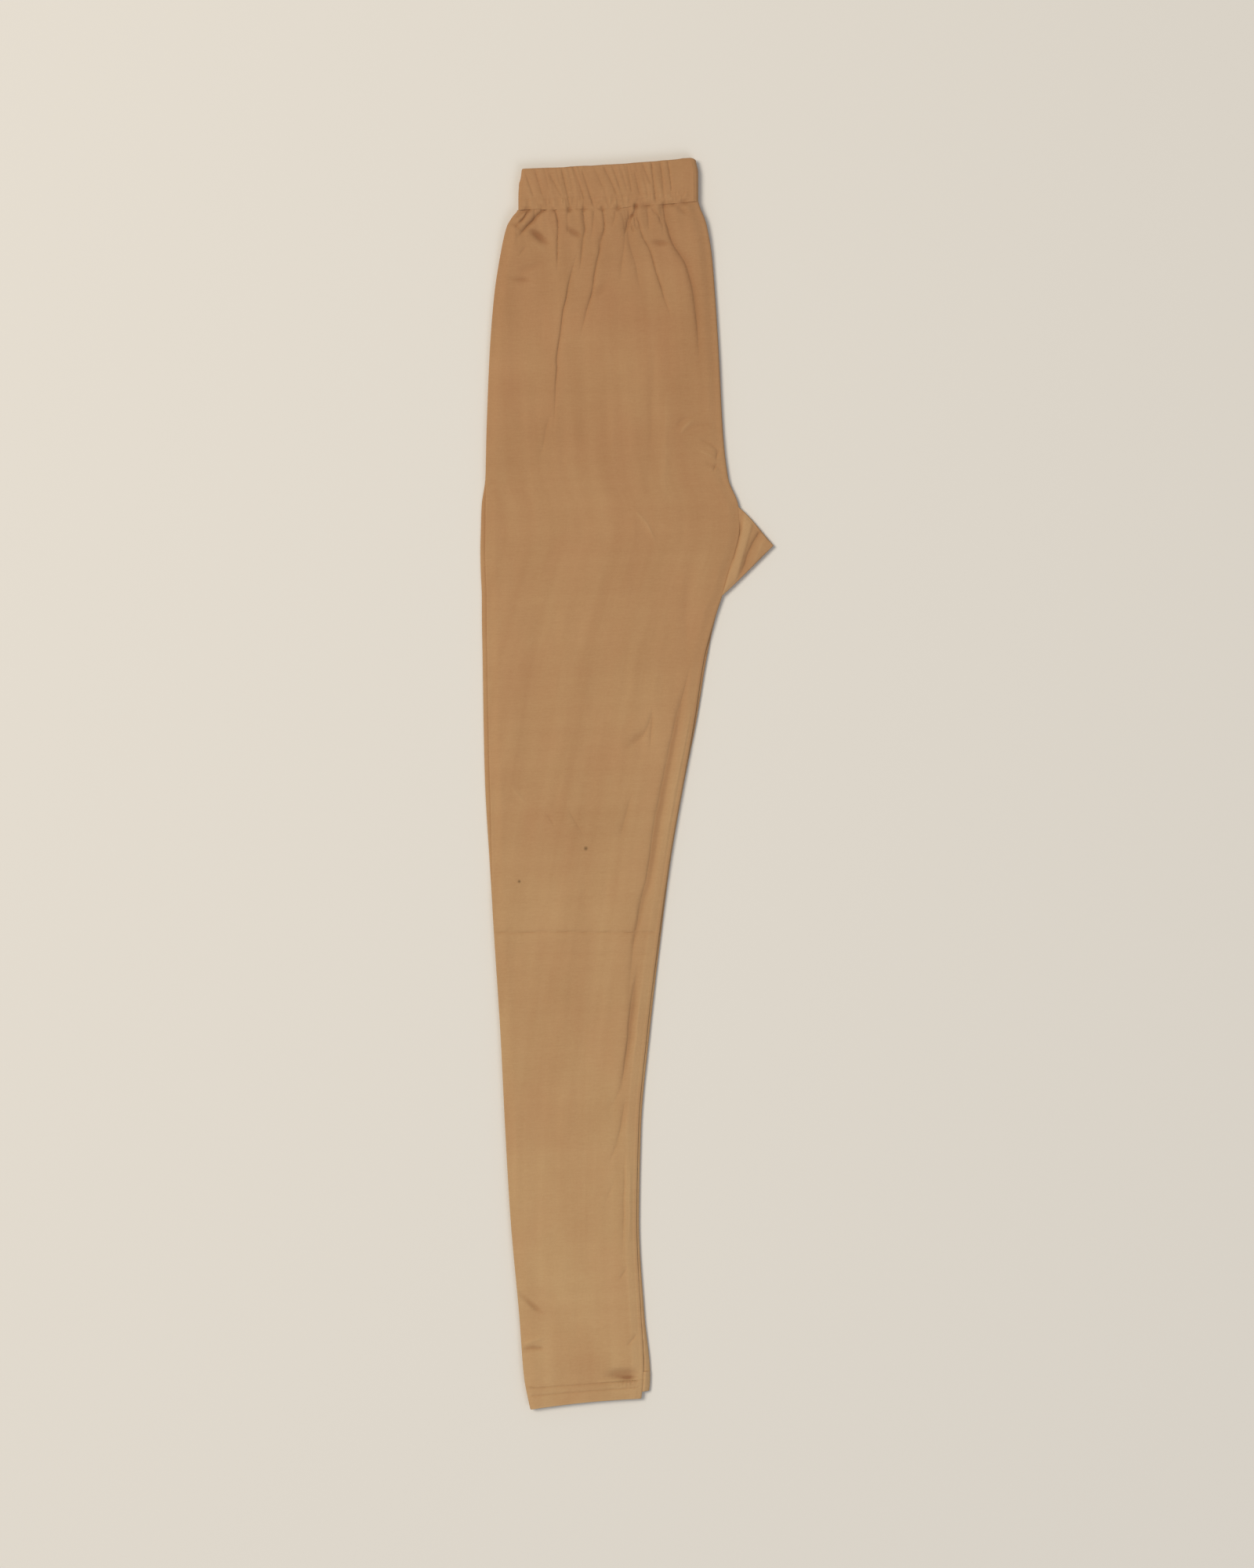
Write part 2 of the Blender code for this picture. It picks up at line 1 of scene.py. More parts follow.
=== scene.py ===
"""Tan jersey leggings, folded in half down the middle and laid flat, one leg on the other.

Lengths here are in millimetres until a mesh is made. x is to the right as seen from above, "down" is
the distance from the waistband's highest point towards the hems, and "from_band" is the distance down
a leg from the foot of the waistband. The folded cloth's four plies are numbered from 0, on the
surface, to 3, on top. Values for each section of a piece are columns, which numpy spreads across it.
"""

import math
from collections import namedtuple

import bpy
import numpy as np
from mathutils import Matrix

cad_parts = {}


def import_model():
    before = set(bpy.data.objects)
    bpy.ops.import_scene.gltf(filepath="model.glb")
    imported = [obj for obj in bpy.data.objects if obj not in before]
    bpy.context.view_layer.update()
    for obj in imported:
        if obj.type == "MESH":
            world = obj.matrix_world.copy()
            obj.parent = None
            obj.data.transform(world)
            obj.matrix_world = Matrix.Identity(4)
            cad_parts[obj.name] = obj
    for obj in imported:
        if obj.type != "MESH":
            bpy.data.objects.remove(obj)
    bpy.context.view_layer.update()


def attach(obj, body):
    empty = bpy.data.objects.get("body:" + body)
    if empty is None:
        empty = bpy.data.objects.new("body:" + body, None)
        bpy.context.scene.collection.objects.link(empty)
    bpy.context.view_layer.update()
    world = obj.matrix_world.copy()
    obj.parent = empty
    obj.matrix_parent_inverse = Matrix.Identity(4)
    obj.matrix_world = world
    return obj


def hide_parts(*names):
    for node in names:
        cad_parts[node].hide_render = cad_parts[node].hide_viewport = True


MM = 0.001

# The part's own sizes
OVERALL_LENGTH = 1067.0
LEG_LENGTH = 1003.0
LOWER_LEG_SHORTER = 6.5
HEM_DEPTH_LEFT = 19.0
HEM_DEPTH_RIGHT = 16.6
BAND_TOP_LEFT = 9.4
BAND_FOOT_LEFT = 44.4
BAND_FOOT_RIGHT = 37.4
CLOTH_WALL = 1.1
HEM_WALL = 1.5
BAND_WALL = 2.2
PLY_GAP = 0.3
SEAM_GAP = 0.3
BODY_PITCH = CLOTH_WALL + PLY_GAP
BAND_PITCH = BAND_WALL + PLY_GAP
HEM_PITCH = HEM_WALL + PLY_GAP
BAND_RISE_LENGTH = 62.0
HEM_RISE_START = 955.0
HEM_RISE_LENGTH = 32.0
INSEAM_ROLL = 2.4
GUSSET_TIP = (125.2, 330.0)
GUSSET_SEAM_DOWN = (296.6, 373.4)

# How the cloth is drawn: how far its edges turn over, its seams meet and its relief reaches or fades
STRIP_RISE = 2.2
PLY_LEFT_INSET = 1.3
PLY_RIGHT_INSET = 3.0
SEAM_MEET = 0.2
SEAM_FADE = 8.0
GUSSET_LAP = 0.8
BAND_OUTER_TURN = 3.2
BAND_INNER_INSET = 5.6
BAND_CORNER = 2.4
BAND_LEFT = -89.9
BAND_RIGHT = 58.6
BAND_SPREAD_LEFT = 2.7
BAND_SPREAD_RIGHT = 2.2
BAND_NICK = 0.5
BAND_JOIN_X = 36.0
BAND_STITCH_SHARE = 0.745
BAND_TOP_SAG = 1.2
HEM_EDGE_RISE = 1.5
HEM_STITCH_PLACES = (0.05, 0.40)
WANDER_FADE = 20.0
PIT_REACH = 2.6
BAND_PIT_REACH = 2.2
BAND_PIT_SHADE_REACH = 1.8
CREASE_WANDER = 0.7
CREASE_EDGE_FADE = 4.0
EDGE_FADE = 9.0
REST_PUFF = 1.0
BAND_PUFF = 1.3
DEEPEST = -0.45
HIGHEST = 5.0
SEAM_ALLOWANCE = 7.0
SEAM_ALLOWANCE_RISE = 0.3
ALLOWANCE_START = 380.0
ALLOWANCE_FADE = 120.0

# How fine the meshes are, and the angle past which an edge stays sharp, in degrees
INNER_COLUMN_STEP = 8
INNER_ROW_STEP = 4
BAND_TOP_STEPS = 260
GUSSET_DIVISIONS = 56
SHARP_EDGE = 48.0

# The thread. A stitch is a spindle: shares of its length, and of its girth there.
STITCH_PITCH = 2.9
STITCH_LENGTH = 2.3
THREAD_WIDTH = 0.55
THREAD_SINK = 0.12
SPINDLE = [(0.0, 0.25), (0.12, 0.8), (0.5, 1.0), (0.88, 0.8), (1.0, 0.25)]

# The jersey's colours, and copies lit paler and yellower by painted light towards the hems, which are
# reached along y, and the knit's spacing. Real wales of this kind are about 0.6 mm apart, which is too
# fine to show.
WAIST_TANS = ("#a37852", "#b78f66")
PAINTED_LIGHT_TANS = ("#b18b62", "#c6a579")
PAINTED_LIGHT_FROM = 430.0
PAINTED_LIGHT_TO = -430.0
WALE_PITCH = 0.9
COURSE_PITCH = 0.7
SPECK_HEIGHT = 6.4
# Noise in the yarn and the dye, by its size in mm across and down the cloth: short streaks of uneven
# yarn across the wales, bands of wales and of courses, blotches, a fine mottle, and redder patches.
YarnPattern = namedtuple("YarnPattern", "name width height detail weight")
YARN_PATTERNS = [
    YarnPattern("streak", 9.0, 1.0, 1.5, 0.3),
    YarnPattern("wale_band", 11.0, 260.0, 2.0, 0.4),
    YarnPattern("blotch", 55.0, 80.0, 2.0, 0.7),
    YarnPattern("course_band", 400.0, 9.0, 2.0, 0.2),
    YarnPattern("mottle", 2.2, 2.2, 2.0, 0.25),
    YarnPattern("warmth", 38.0, 62.0, 3.0, 0.0),
]

# The stage, in metres, and the height of the top ply, in mm
FLOOR_HALF = 6.0
FLOOR_TOP = -0.0002
CLOTH_TOP = 8.0

# A face of the cloth, the ends of its sections, and how many steps a section has at the inseam's roll, on
# the outer ply, at the side fold and on the inner ply. A leg's outward is 1 or -1, as its section turns.
Face = namedtuple("Face", "x z")
Ends = namedtuple("Ends", "left right left_down right_down")
Counts = namedtuple("Counts", "roll ply fold under")
HEM_COUNTS = Counts(28, 138, 12, 14)
Leg = namedtuple("Leg", "side length outer_ply inner_ply outward counts")
UPPER = Leg("upper", LEG_LENGTH, 3, 2, -1.0, Counts(12, 178, 12, 14))
LOWER = Leg("lower", LEG_LENGTH - LOWER_LEG_SHORTER, 0, 1, 1.0, Counts(28, 90, 12, 14))


def named_rows(columns, rows):
    """A table's rows as tuples with the columns' names. A last place that is left out is False."""
    kind = namedtuple("Row", columns, defaults=[False])
    return [kind(*row) for row in rows]


OUTLINE = named_rows("down left right left_step right_step", [
    (38, -92.6, 61, 0, 0), (44.6, -93.4, 63.2, 0, 0), (50, -97.5, 66, 0, 0.3),
    (58.5, -102.5, 68.6, -0.6, 0.3), (82, -108, 72.5, -0.8, 0.3), (115.5, -113.2, 75.3, -0.8, 0.3),
    (165.5, -117.2, 78.5, -0.8, 0.3), (232.5, -119.9, 82, -0.6, 0.4), (272.5, -121, 86.6, 0.4, 0.3),
    (296.6, -124.2, 95.2, 3.4, 0), (316, -124.8, 96.4, 3.8, 0), (335, -125.2, 92.6, 4, 0),
    (354, -124.8, 86.6, 4, 0), (373.4, -124, 81.2, 4, 0), (392.8, -123.9, 75.2, 4, 0.4),
    (426.2, -123.3, 68, 3.9, 2), (479.6, -122.5, 59.2, 4, 1.6), (533, -121.2, 48.6, 4, 0.7),
    (600, -117.3, 37, 1.8, 0.8), (666.7, -113.2, 28.4, -0.8, 1.5), (746.8, -108, 19.2, -1.2, 2),
    (827, -104, 12, -1.2, 2), (907, -99.2, 10.4, -1.2, 2), (987.3, -91.9, 15, -1.2, 2.8),
    (1038.7, -87.9, 19.8, -1.2, 5.6), (1067, -82.5, 17.2, -1.2, 6.2),
])
# Rings of the gusset's edge: a share of its height, and how far its folds and its inseam side are drawn
# in there, which shows its layers.
GUSSET_EDGE = [
    (0.00, 1.1, 0.8), (0.06, 0.6, 0.35), (0.12, 0.4, 0.1), (0.25, 0.1, 0), (0.38, 0, 0.1),
    (0.46, 0, 0.5), (0.50, 0, 0.9), (0.54, 0, 0.5), (0.62, 0, 0.1), (0.75, 0.1, 0), (0.88, 0.4, 0.1),
    (0.94, 0.6, 0.35), (1.00, 1.1, 0.8),
]

# Creases of the top ply, placed one by one: the points that each passes, how far the hollow reaches to
# the left and right of its line as seen from above, and how deep it is. A negative depth is a ridge. A
# crease that starts at a seam is FULL there, and the others fade in.
FULL = True
CREASE_COLUMNS = "path left right depth full_at_start"
CREASES = named_rows(CREASE_COLUMNS, [
    ([(-84, 44), (-88, 51), (-96, 60)], 0.9, 1.2, 2.4, FULL),
    ([(-70, 43), (-77, 50), (-84, 57), (-95, 70)], 0.9, 1.2, 2.8, FULL),
    ([(-89, 45), (-95, 52)], 0.9, 0.9, 1.6, FULL),
    ([(-99, 56), (-93, 59), (-88, 63)], 0.8, 0.9, 1.5),
    ([(-62, 43), (-59, 54), (-59, 72), (-60, 100)], 0.9, 0.8, 1.3, FULL),
    ([(-37, 43), (-36, 59), (-38, 79), (-41, 102)], 1.3, 0.9, 1.3, FULL),
    ([(-40.5, 72), (-49, 106), (-55, 135), (-60, 179), (-63, 236)], 0.9, 1.7, 1.5),
    ([(-65, 215), (-71, 240), (-75, 260)], 2.5, 2, 0.6),
    ([(-20, 43), (-19, 59), (-24, 81), (-30, 114), (-35, 133), (-42, 158)], 1, 1, 1.5, FULL),
    ([(-5, 45), (-2, 63), (-3, 81), (-7, 112)], 1.6, 2, 0.7, FULL),
    ([(1, 44), (1, 66), (8, 94), (14, 124)], 2.2, 4.6, 1.2, FULL),
    (
        [(7, 43), (9, 51.6), (12.9, 65.5), (19.2, 77.7), (24, 94), (30, 112), (41, 144)],
        1.1, 0.9, 1.3, FULL,
    ),
    ([(22, 43), (27.3, 49.2), (29, 54.9), (31.5, 56.5)], 1.2, 1.2, 1.3, FULL),
    ([(31, 42), (34, 56), (39, 72), (50, 90), (57, 115), (60, 141), (63, 182)], 1.9, 3.2, 2.4, FULL),
    ([(39, 39), (46, 44), (54, 51)], 1.2, 1.2, 1.3, FULL),
    ([(45, 42), (59, 52)], 1.2, 1.2, 0.8, FULL),
    ([(5.2, 47), (2.8, 49.9), (0.9, 53.2), (-0.2, 58.8), (-2.4, 66)], 1.1, 0.9, 2.1, FULL),
    ([(2.2, 55), (4.2, 60.5), (7.2, 62.2)], 0.8, 0.8, 1.4),
    ([(5.4, 56.4), (8.7, 59.6), (12, 58.2)], 0.7, 0.7, 0.9),
    ([(3.4, 52), (2.4, 62)], 0.9, 0.9, -0.6),
    ([(6.2, 45), (6.4, 52), (6.8, 60)], 0.7, 0.7, 0.9, FULL),
    ([(-84, 72), (-76, 75), (-68, 79)], 1.6, 1.4, -0.5),
    ([(-86, 76), (-92, 84)], 1.2, 1.4, 0.7),
    ([(-50, 44), (-51, 68)], 1.3, 1.3, 0.8, FULL),
    ([(-28, 44), (-30, 72)], 1.2, 1.2, 0.7, FULL),
    ([(17, 44), (19, 64)], 1.2, 1.2, 0.7, FULL),
    ([(-10, 44), (-12, 58)], 1, 1.2, 0.8, FULL),
    ([(-79, 44), (-77, 58)], 1, 1.2, 0.7, FULL),
    ([(25, 150), (21, 212), (18, 300)], 5, 5.5, 0.6),
    ([(35, 190), (33, 246), (33, 305)], 4, 4, -0.5),
    ([(50, 350), (51, 440)], 5, 5, 0.6),
    ([(42, 231), (47, 224), (55, 220)], 1, 1.2, 0.7),
    ([(44, 236), (51, 228), (60, 222)], 0.9, 1, -0.7),
    ([(54, 228), (66, 227), (82, 229)], 0.9, 1, 0.8),
    ([(60, 238), (70, 243), (84, 253)], 1, 1, 0.9),
    ([(62, 249), (74, 255)], 0.9, 0.9, -0.6),
    ([(64, 258), (76, 263), (90, 271)], 1.2, 1, 1),
    ([(78, 272), (92, 284)], 1.2, 1, 0.7),
    ([(80.5, 246), (77.5, 252), (75.5, 258)], 0.9, 0.8, 1.1),
    ([(77, 260), (73, 267)], 0.9, 0.8, 1.1),
    ([(5, 298), (16, 311), (26, 329)], 0.9, 1, -0.7),
    ([(-40, 184), (-12, 188), (16, 183)], 1.4, 1.4, 0.3),
    ([(-52, 268), (-14, 271), (8, 266)], 1.6, 1.6, 0.25),
    (
        [(57, 420), (47, 461), (41, 488), (32, 529), (25, 565), (20, 597), (16, 622), (9, 658)],
        1.7, 3.6, 2.1,
    ),
    ([(19, 594), (14.4, 625), (8.3, 653), (3, 693), (1, 740)], 2.3, 2.8, 0.8),
    ([(66, 430), (53, 484), (42, 532), (34, 582), (28, 622)], 2.4, 3, -0.5),
    ([(22, 471), (14, 492), (-2, 505)], 2, 2.6, 1),
    ([(4, 540), (-2, 563), (-8, 586)], 3, 3.4, 1),
    ([(-100, 536), (-85, 551)], 0.9, 1, -0.45),
    ([(-71, 557), (-59, 572)], 0.9, 0.9, 0.5),
    ([(-50, 555), (-36, 579)], 1.1, 1.4, 0.6),
    ([(9, 686), (4, 727), (2, 748), (-2, 775), (-6, 794), (-13, 806), (-28, 813)], 1.6, 2.6, 1.6),
    ([(12, 700), (8, 748), (3, 790)], 2, 2, -0.5),
    ([(-1, 798), (-6, 830), (-17, 862)], 1.3, 1.5, 1),
    ([(0, 808), (-1, 840)], 2, 2.4, -0.4),
    ([(-2, 846), (-3, 890), (-4, 942)], 1.3, 1, 0.7),
    ([(2, 850), (2, 895), (1, 940)], 1.6, 1.8, -0.45),
    ([(-3, 847), (7, 848)], 1, 1, 0.6),
    ([(-9, 868), (-20, 893)], 1.4, 1.4, 0.4),
    ([(1, 946), (-7, 957)], 1.5, 1.5, 0.8),
    ([(9, 1002), (-1, 1014)], 1.5, 1.5, 0.8),
    ([(-96, 964), (-82, 976), (-71, 986)], 1.6, 1.3, 1.2),
    ([(-93, 1016), (-68, 1015)], 1.3, 1, 1.3),
    ([(-90, 1011), (-67, 1005)], 1.3, 1.3, -1),
    ([(-14, 1037), (-2, 1039), (9, 1037)], 2, 1.1, 1.9),
    ([(-26, 1043), (-10, 1042.4), (0, 1042)], 1, 1, -0.6),
    ([(21.5, 468), (20.5, 506)], 1.1, 1.1, 0.8),
])
GUSSET_CREASES = named_rows(CREASE_COLUMNS, [
    ([(97, 303), (96.6, 317), (93.6, 330), (90.8, 340.6), (85.2, 357.4)], 0.9, 1.2, 1.6),
    ([(113, 319), (107.6, 328), (103, 338), (100.6, 346), (95, 360)], 1.3, 2.2, 1.9, FULL),
    ([(108, 310), (115, 320)], 1.4, 1.6, 0.4),
    ([(118, 322), (106, 351)], 2.4, 2.4, -0.5),
])
# The allowance of the seam beside the leg makes a raised welt between these two points.
GUSSET_WELT = [(103.2, 309.9), (88.8, 361.0)]
# Dents where the cloth is pushed in between folds: their middles, half lengths and half widths, how far
# they are turned towards the hems at their right, in degrees, and their depths.
DIMPLES = named_rows("x down half_length half_width turned depth", [
    (-75, 67, 9, 2.7, 36, 2.4), (-90, 103.5, 7.5, 2, 4, 1.2), (-84, 94, 9, 3, -20, 0.5),
    (28.5, 72.8, 7.5, 2.4, 2, 1.3), (3.6, 48.8, 2.4, 1.3, -40, 1.4), (-45, 63, 7, 2.2, 33, 1.6),
    (-23, 112, 8, 4, -50, 0.6), (2, 1039.3, 6.5, 1.6, 0, 2), (-4, 1036, 12.5, 4.6, -3, 1.7),
    (-80.5, 978, 11, 1.6, 38, 0.9), (-79.5, 1014.5, 9, 1.2, 2, 1.1), (8, 494, 9, 2.6, -35, 0.8),
    (39, 500, 36, 2, 98.5, 0.6), (24.4, 580, 58, 2.8, 99.6, 0.9), (10.5, 645, 26, 2.2, 102, 0.7),
    (3.6, 735, 40, 2.2, 96, 0.7),
])
# Where the seam draws the cloth in under the waistband: a place, how wide it is and how deep.
FOOT_PITS = named_rows("x width depth", [
    (-85.5, 3.6, 1.5), (-73, 1.6, 0.9), (-62.5, 1.4, 1), (-49, 1.8, 1.9), (-36.5, 1.4, 1.2),
    (-21, 1.6, 1.3), (-7.5, 2.6, 1.5), (7.6, 1.9, 2.6), (16.8, 5, 1.3), (31.5, 1.8, 1.5), (38, 4, 0.7),
    (49, 4.2, 1.5),
])
# How far that seam hangs below a straight line, at places across it.
FOOT_BOW = [(-93.0, 0.0), (-72.0, 0.5), (-50.0, 1.6), (-9.0, 2.6), (14.0, 1.2), (38.0, 0.3), (61.0, 0.0)]
# The leg was stored folded across, which left pressed lines from side to side.
PRESS_LINES = named_rows("down depth", [(660.2, 0.9), (678.5, 0.35)])
# The band's gathers: each leans from the top of its line to the foot.
BAND_CREASES = named_rows("top_x top_depth foot_x foot_depth width depth", [
    (-86, 5, -79.5, 24, 0.8, 0.75), (-77.5, 4, -72, 23, 0.8, 0.75), (-70, 2, -66.5, 18, 0.9, 0.45),
    (-64.5, 8, -55.5, 25, 0.8, 0.80), (-60, 2, -57, 14, 0.8, 0.40), (-55, 4, -48.5, 33, 0.8, 1.00),
    (-45.5, 0.5, -36.8, 26, 0.8, 0.95), (-37.5, 6, -28.5, 33, 0.8, 0.90), (-27, 4, -20.5, 19, 1.1, 0.55),
    (-18.5, 4, -8.5, 25, 0.8, 0.90), (-12, 3, -6, 20, 0.8, 0.65), (-3.5, 8, 0, 22, 0.8, 0.40),
    (0.5, 3, 4, 24, 0.8, 0.80), (7, 10, 11, 27, 0.8, 0.80), (13.5, 2, 20, 18, 0.9, 0.70),
    (21, 1, 24.5, 33, 0.8, 1.00), (28.5, 2, 31.5, 25, 0.8, 0.90), (34.6, -2, 38.2, 26, 0.6, 0.85),
])
# How thin the walls get towards the rounded edges: a share of the height, and a share of the wall.
BAND_THINNING = [(0.0, 0.3), (0.01, 0.62), (0.025, 0.85), (0.045, 1.0), (0.985, 1.0), (1.0, 1.0)]
HEM_THINNING = [(0.0, 1.0), (0.94, 1.0), (0.97, 0.92), (0.985, 0.78), (1.0, 0.45)]
# How far apart the rows of points are at places down a leg: closest at the gathers and the hem.
ROW_SPACING = [
    (0, 1.2), (60, 1.8), (150, 2.8), (172, 1.4), (245, 1.4), (262, 3.4), (600, 3.8), (611, 1.1),
    (627, 1.1), (634, 1.7), (645, 1.7), (656, 3.6), (905, 3.6), (925, 1.4), (1003, 1.15),
]


# Shapes


def ramp(share):
    """A smooth step: share^2 (3 - 2 share), with the share kept between 0 and 1."""
    share = np.clip(share, 0.0, 1.0)
    return share * share * (3.0 - 2.0 * share)


def bell(distance, reach, power=2):
    """1 at a place and less away from it: exp(-(distance / reach)^power)."""
    return np.exp(-((distance / reach) ** power))


def hollow(distance, reach):
    """A hollow with a sharp bottom: exp(-distance / reach), rounded over its first quarter of a mm."""
    return np.exp(-(np.sqrt(distance**2 + 0.06) - 0.25) / reach)


def edge_fade(x, left, right, left_reach, right_reach):
    """0 at both edges and 1 between them: a ramp in from the left, times a ramp in from the right."""
    return ramp((x - left) / left_reach) * ramp((right - x) / right_reach)


def smooth_curve(at, xs, ys):
    """The smooth curve through a table's points, which never swings past them (a monotone cubic).

    Between two points it is y0 + (y1 - y0) t^2 (3 - 2t), pulled over by the slopes at both. The slope
    at a point is the harmonic mean of the straight slopes beside it, or 0 where their signs differ.
    """
    xs, ys = np.asarray(xs, float), np.asarray(ys, float)
    steps = np.diff(xs)
    slopes = np.diff(ys) / steps
    before, after = slopes[:-1], slopes[1:]
    same_way = before * after > 0
    total = np.where(same_way, before + after, 1.0)
    middle = np.where(same_way, 2.0 * before * after / total, 0.0)
    tangents = np.concatenate([slopes[:1], middle, slopes[-1:]])
    k = np.clip(np.searchsorted(xs, at) - 1, 0, len(steps) - 1)
    t = (at - xs[k]) / steps[k]
    rise = t * t * (3.0 - 2.0 * t)
    start_pull = t * (1.0 - t) ** 2 * steps[k] * tangents[k]
    end_pull = t * t * (t - 1.0) * steps[k] * tangents[k + 1]
    return ys[k] + (ys[k + 1] - ys[k]) * rise + start_pull + end_pull


def soft_noise(x, y, cell_x, cell_y, seed):
    """Smooth unevenness from -1 to 1: random values on a lattice, blended by smooth steps."""
    values = np.random.default_rng(seed).uniform(-1.0, 1.0, (64, 64))
    u, v = x / cell_x + 31.0, y / cell_y + 17.0
    i, j = np.floor(u).astype(int), np.floor(v).astype(int)
    s, t = ramp(u - i), ramp(v - j)
    i, j = i % 63, j % 63
    low = values[i, j] * (1.0 - s) + values[i + 1, j] * s
    high = values[i, j + 1] * (1.0 - s) + values[i + 1, j + 1] * s
    return low * (1.0 - t) + high * t


def outline_at(down, column):
    """One column of the outline's table as a smooth curve, this far down."""
    return smooth_curve(down, [row.down for row in OUTLINE], [getattr(row, column) for row in OUTLINE])


def leg_edge(side, end, down):
    """Where a leg's left or right edge is: the outline, less the step if this leg is the inner one."""
    step = outline_at(down, end + "_step")
    inset = np.maximum(step if side == "upper" else -step, 0.0)
    return outline_at(down, end) + (inset if end == "left" else -inset)


def leg_ends(leg, left_down, right_down):
    """Both ends of a leg's sections whose left and right ends are this far down."""
    left, right = leg_edge(leg.side, "left", left_down), leg_edge(leg.side, "right", right_down)
    return Ends(left, right, left_down, right_down)


def downs_at(from_band):
    """How far down a section's left and right ends are: the band's foot there, the gap, and from_band."""
    return BAND_FOOT_LEFT + SEAM_GAP + from_band, BAND_FOOT_RIGHT + SEAM_GAP + from_band


def across(x, ends):
    """The share of the way from a section's left end to its right end: (x - left) / (right - left)."""
    return (x - ends.left) / (ends.right - ends.left)


def down_at(x, ends):
    """How far down a section is at x, on the straight line from its left end to its right end."""
    return ends.left_down + across(x, ends) * (ends.right_down - ends.left_down)


def ply_pitch(from_band):
    """The height from ply to ply: the legs', eased to the band's above and to the hem's below."""
    band_share = 1.0 - ramp(from_band / BAND_RISE_LENGTH)
    hem_share = ramp((from_band - HEM_RISE_START) / HEM_RISE_LENGTH)
    return BODY_PITCH + (BAND_PITCH - BODY_PITCH) * band_share + (HEM_PITCH - BODY_PITCH) * hem_share


def seam_share(right_down):
    """1 where the leg is sewn to the gusset and its edge stays flat, 0 where its edge rolls over."""
    top, foot = GUSSET_SEAM_DOWN
    rise = ramp((right_down - top + SEAM_FADE) / SEAM_FADE)
    return rise * ramp((foot + SEAM_FADE - right_down) / SEAM_FADE)


def crease_line(path):
    """A smooth curve through a crease's points (a Catmull-Rom spline), eight steps to a stretch."""
    points = np.asarray(path, float)
    if len(points) == 2:
        return points
    ends = np.vstack([2.0 * points[0] - points[1], points, 2.0 * points[-1] - points[-2]])
    before, start, end, after = ends[:-3], ends[1:-2], ends[2:-1], ends[3:]
    t = np.linspace(0.0, 1.0, 8, endpoint=False)[:, None, None]
    curve = 0.5 * (
        2.0 * start
        + (end - before) * t
        + (2.0 * before - 5.0 * start + 4.0 * end - after) * t**2
        + (3.0 * start - before - 3.0 * end + after) * t**3
    )
    return np.vstack([curve.transpose(1, 0, 2).reshape(-1, 2), points[-1:]])


def crease_height(x, down, crease):
    """A sharp hollow along a curve, with its own reach to each side, which fades at its ends.

    It is -depth times the hollow of the distance to the curve's nearest stretch, and ends 4.5 reaches
    away. It fades in over the first 30% of its length, unless it is full there, and out over the last
    40%.
    """
    line = crease_line(crease.path)
    reach = 4.5 * max(crease.left, crease.right)
    low, high = line.min(axis=0) - reach, line.max(axis=0) + reach
    near = (x > low[0]) & (x < high[0]) & (down > low[1]) & (down < high[1])
    height = np.zeros_like(x)
    px, py = x[near], down[near]
    best = np.full(px.shape, 1e9)
    side, along = np.zeros_like(px), np.zeros_like(px)
    lengths = np.hypot(*np.diff(line, axis=0).T)
    passed = np.concatenate([[0.0], np.cumsum(lengths)])
    for k in range(len(line) - 1):
        run = (line[k + 1] - line[k]) / lengths[k]
        t = np.clip((px - line[k][0]) * run[0] + (py - line[k][1]) * run[1], 0.0, lengths[k])
        off_x, off_y = px - line[k][0] - t * run[0], py - line[k][1] - t * run[1]
        distance = np.hypot(off_x, off_y)
        closer = distance < best
        best = np.where(closer, distance, best)
        side = np.where(closer, off_x * run[1] - off_y * run[0], side)
        along = np.where(closer, passed[k] + t, along)
    share = along / passed[-1]
    fade_in = 1.0 if crease.full_at_start else ramp(share / 0.3)
    fade = fade_in * ramp((1.0 - share) / 0.4)
    to_right = side > 0.0 if line[-1][1] > line[0][1] else side < 0.0
    shape = hollow(best, np.where(to_right, crease.right, crease.left))
    height[near] = -crease.depth * fade * (shape * ramp((reach - best) / reach * 2.0))
    return height


def dimple_height(x, down, dimple):
    """An oval dent: -depth times exp(-r^3), where r is 1 on the oval's rim."""
    turn = math.radians(dimple.turned)
    off_x, off_down = x - dimple.x, down - dimple.down
    along = (off_x * math.cos(turn) + off_down * math.sin(turn)) / dimple.half_length
    aside = (off_down * math.cos(turn) - off_x * math.sin(turn)) / dimple.half_width
    return -dimple.depth * np.exp(-((along**2 + aside**2) ** 1.5))


def foot_pits(x, from_seam, reach):
    """How deep the waist seam draws the cloth in: for each pit, depth exp(-(x/width)^2 - (d/reach)^2)."""
    return sum(pit.depth * bell(x - pit.x, pit.width) for pit in FOOT_PITS) * bell(from_seam, reach)


def foot_opening(x):
    """How far a leg's top edge stands off from the band: 0.05 depth exp(-(x/width)^4), for each pit."""
    return sum(0.05 * pit.depth * bell(x - pit.x, pit.width, 4) for pit in FOOT_PITS)


def foot_wander(x):
    """How far the seam under the waistband hangs below a straight line: a bow, and a small wander."""
    places, sags = zip(*FOOT_BOW)
    bow = smooth_curve(np.clip(x, places[0], places[-1]), places, sags)
    return bow + 0.4 * soft_noise(x, 0.0 * x, 7.0, 9.0, 16)


def row_places(length):
    """Distances down the leg, as even steps of the running total of 1 / spacing, from the table."""
    fine = np.linspace(0.0, length, 4001)
    spacing = np.interp(fine, *zip(*ROW_SPACING))
    passed = np.concatenate([[0.0], np.cumsum(np.diff(fine) / spacing[1:])])
    rows = np.interp(np.linspace(0.0, passed[-1], int(round(passed[-1])) + 1), passed, fine)
    return np.concatenate([[-SEAM_MEET], rows[1:-1], [length + SEAM_MEET]])[:, None]


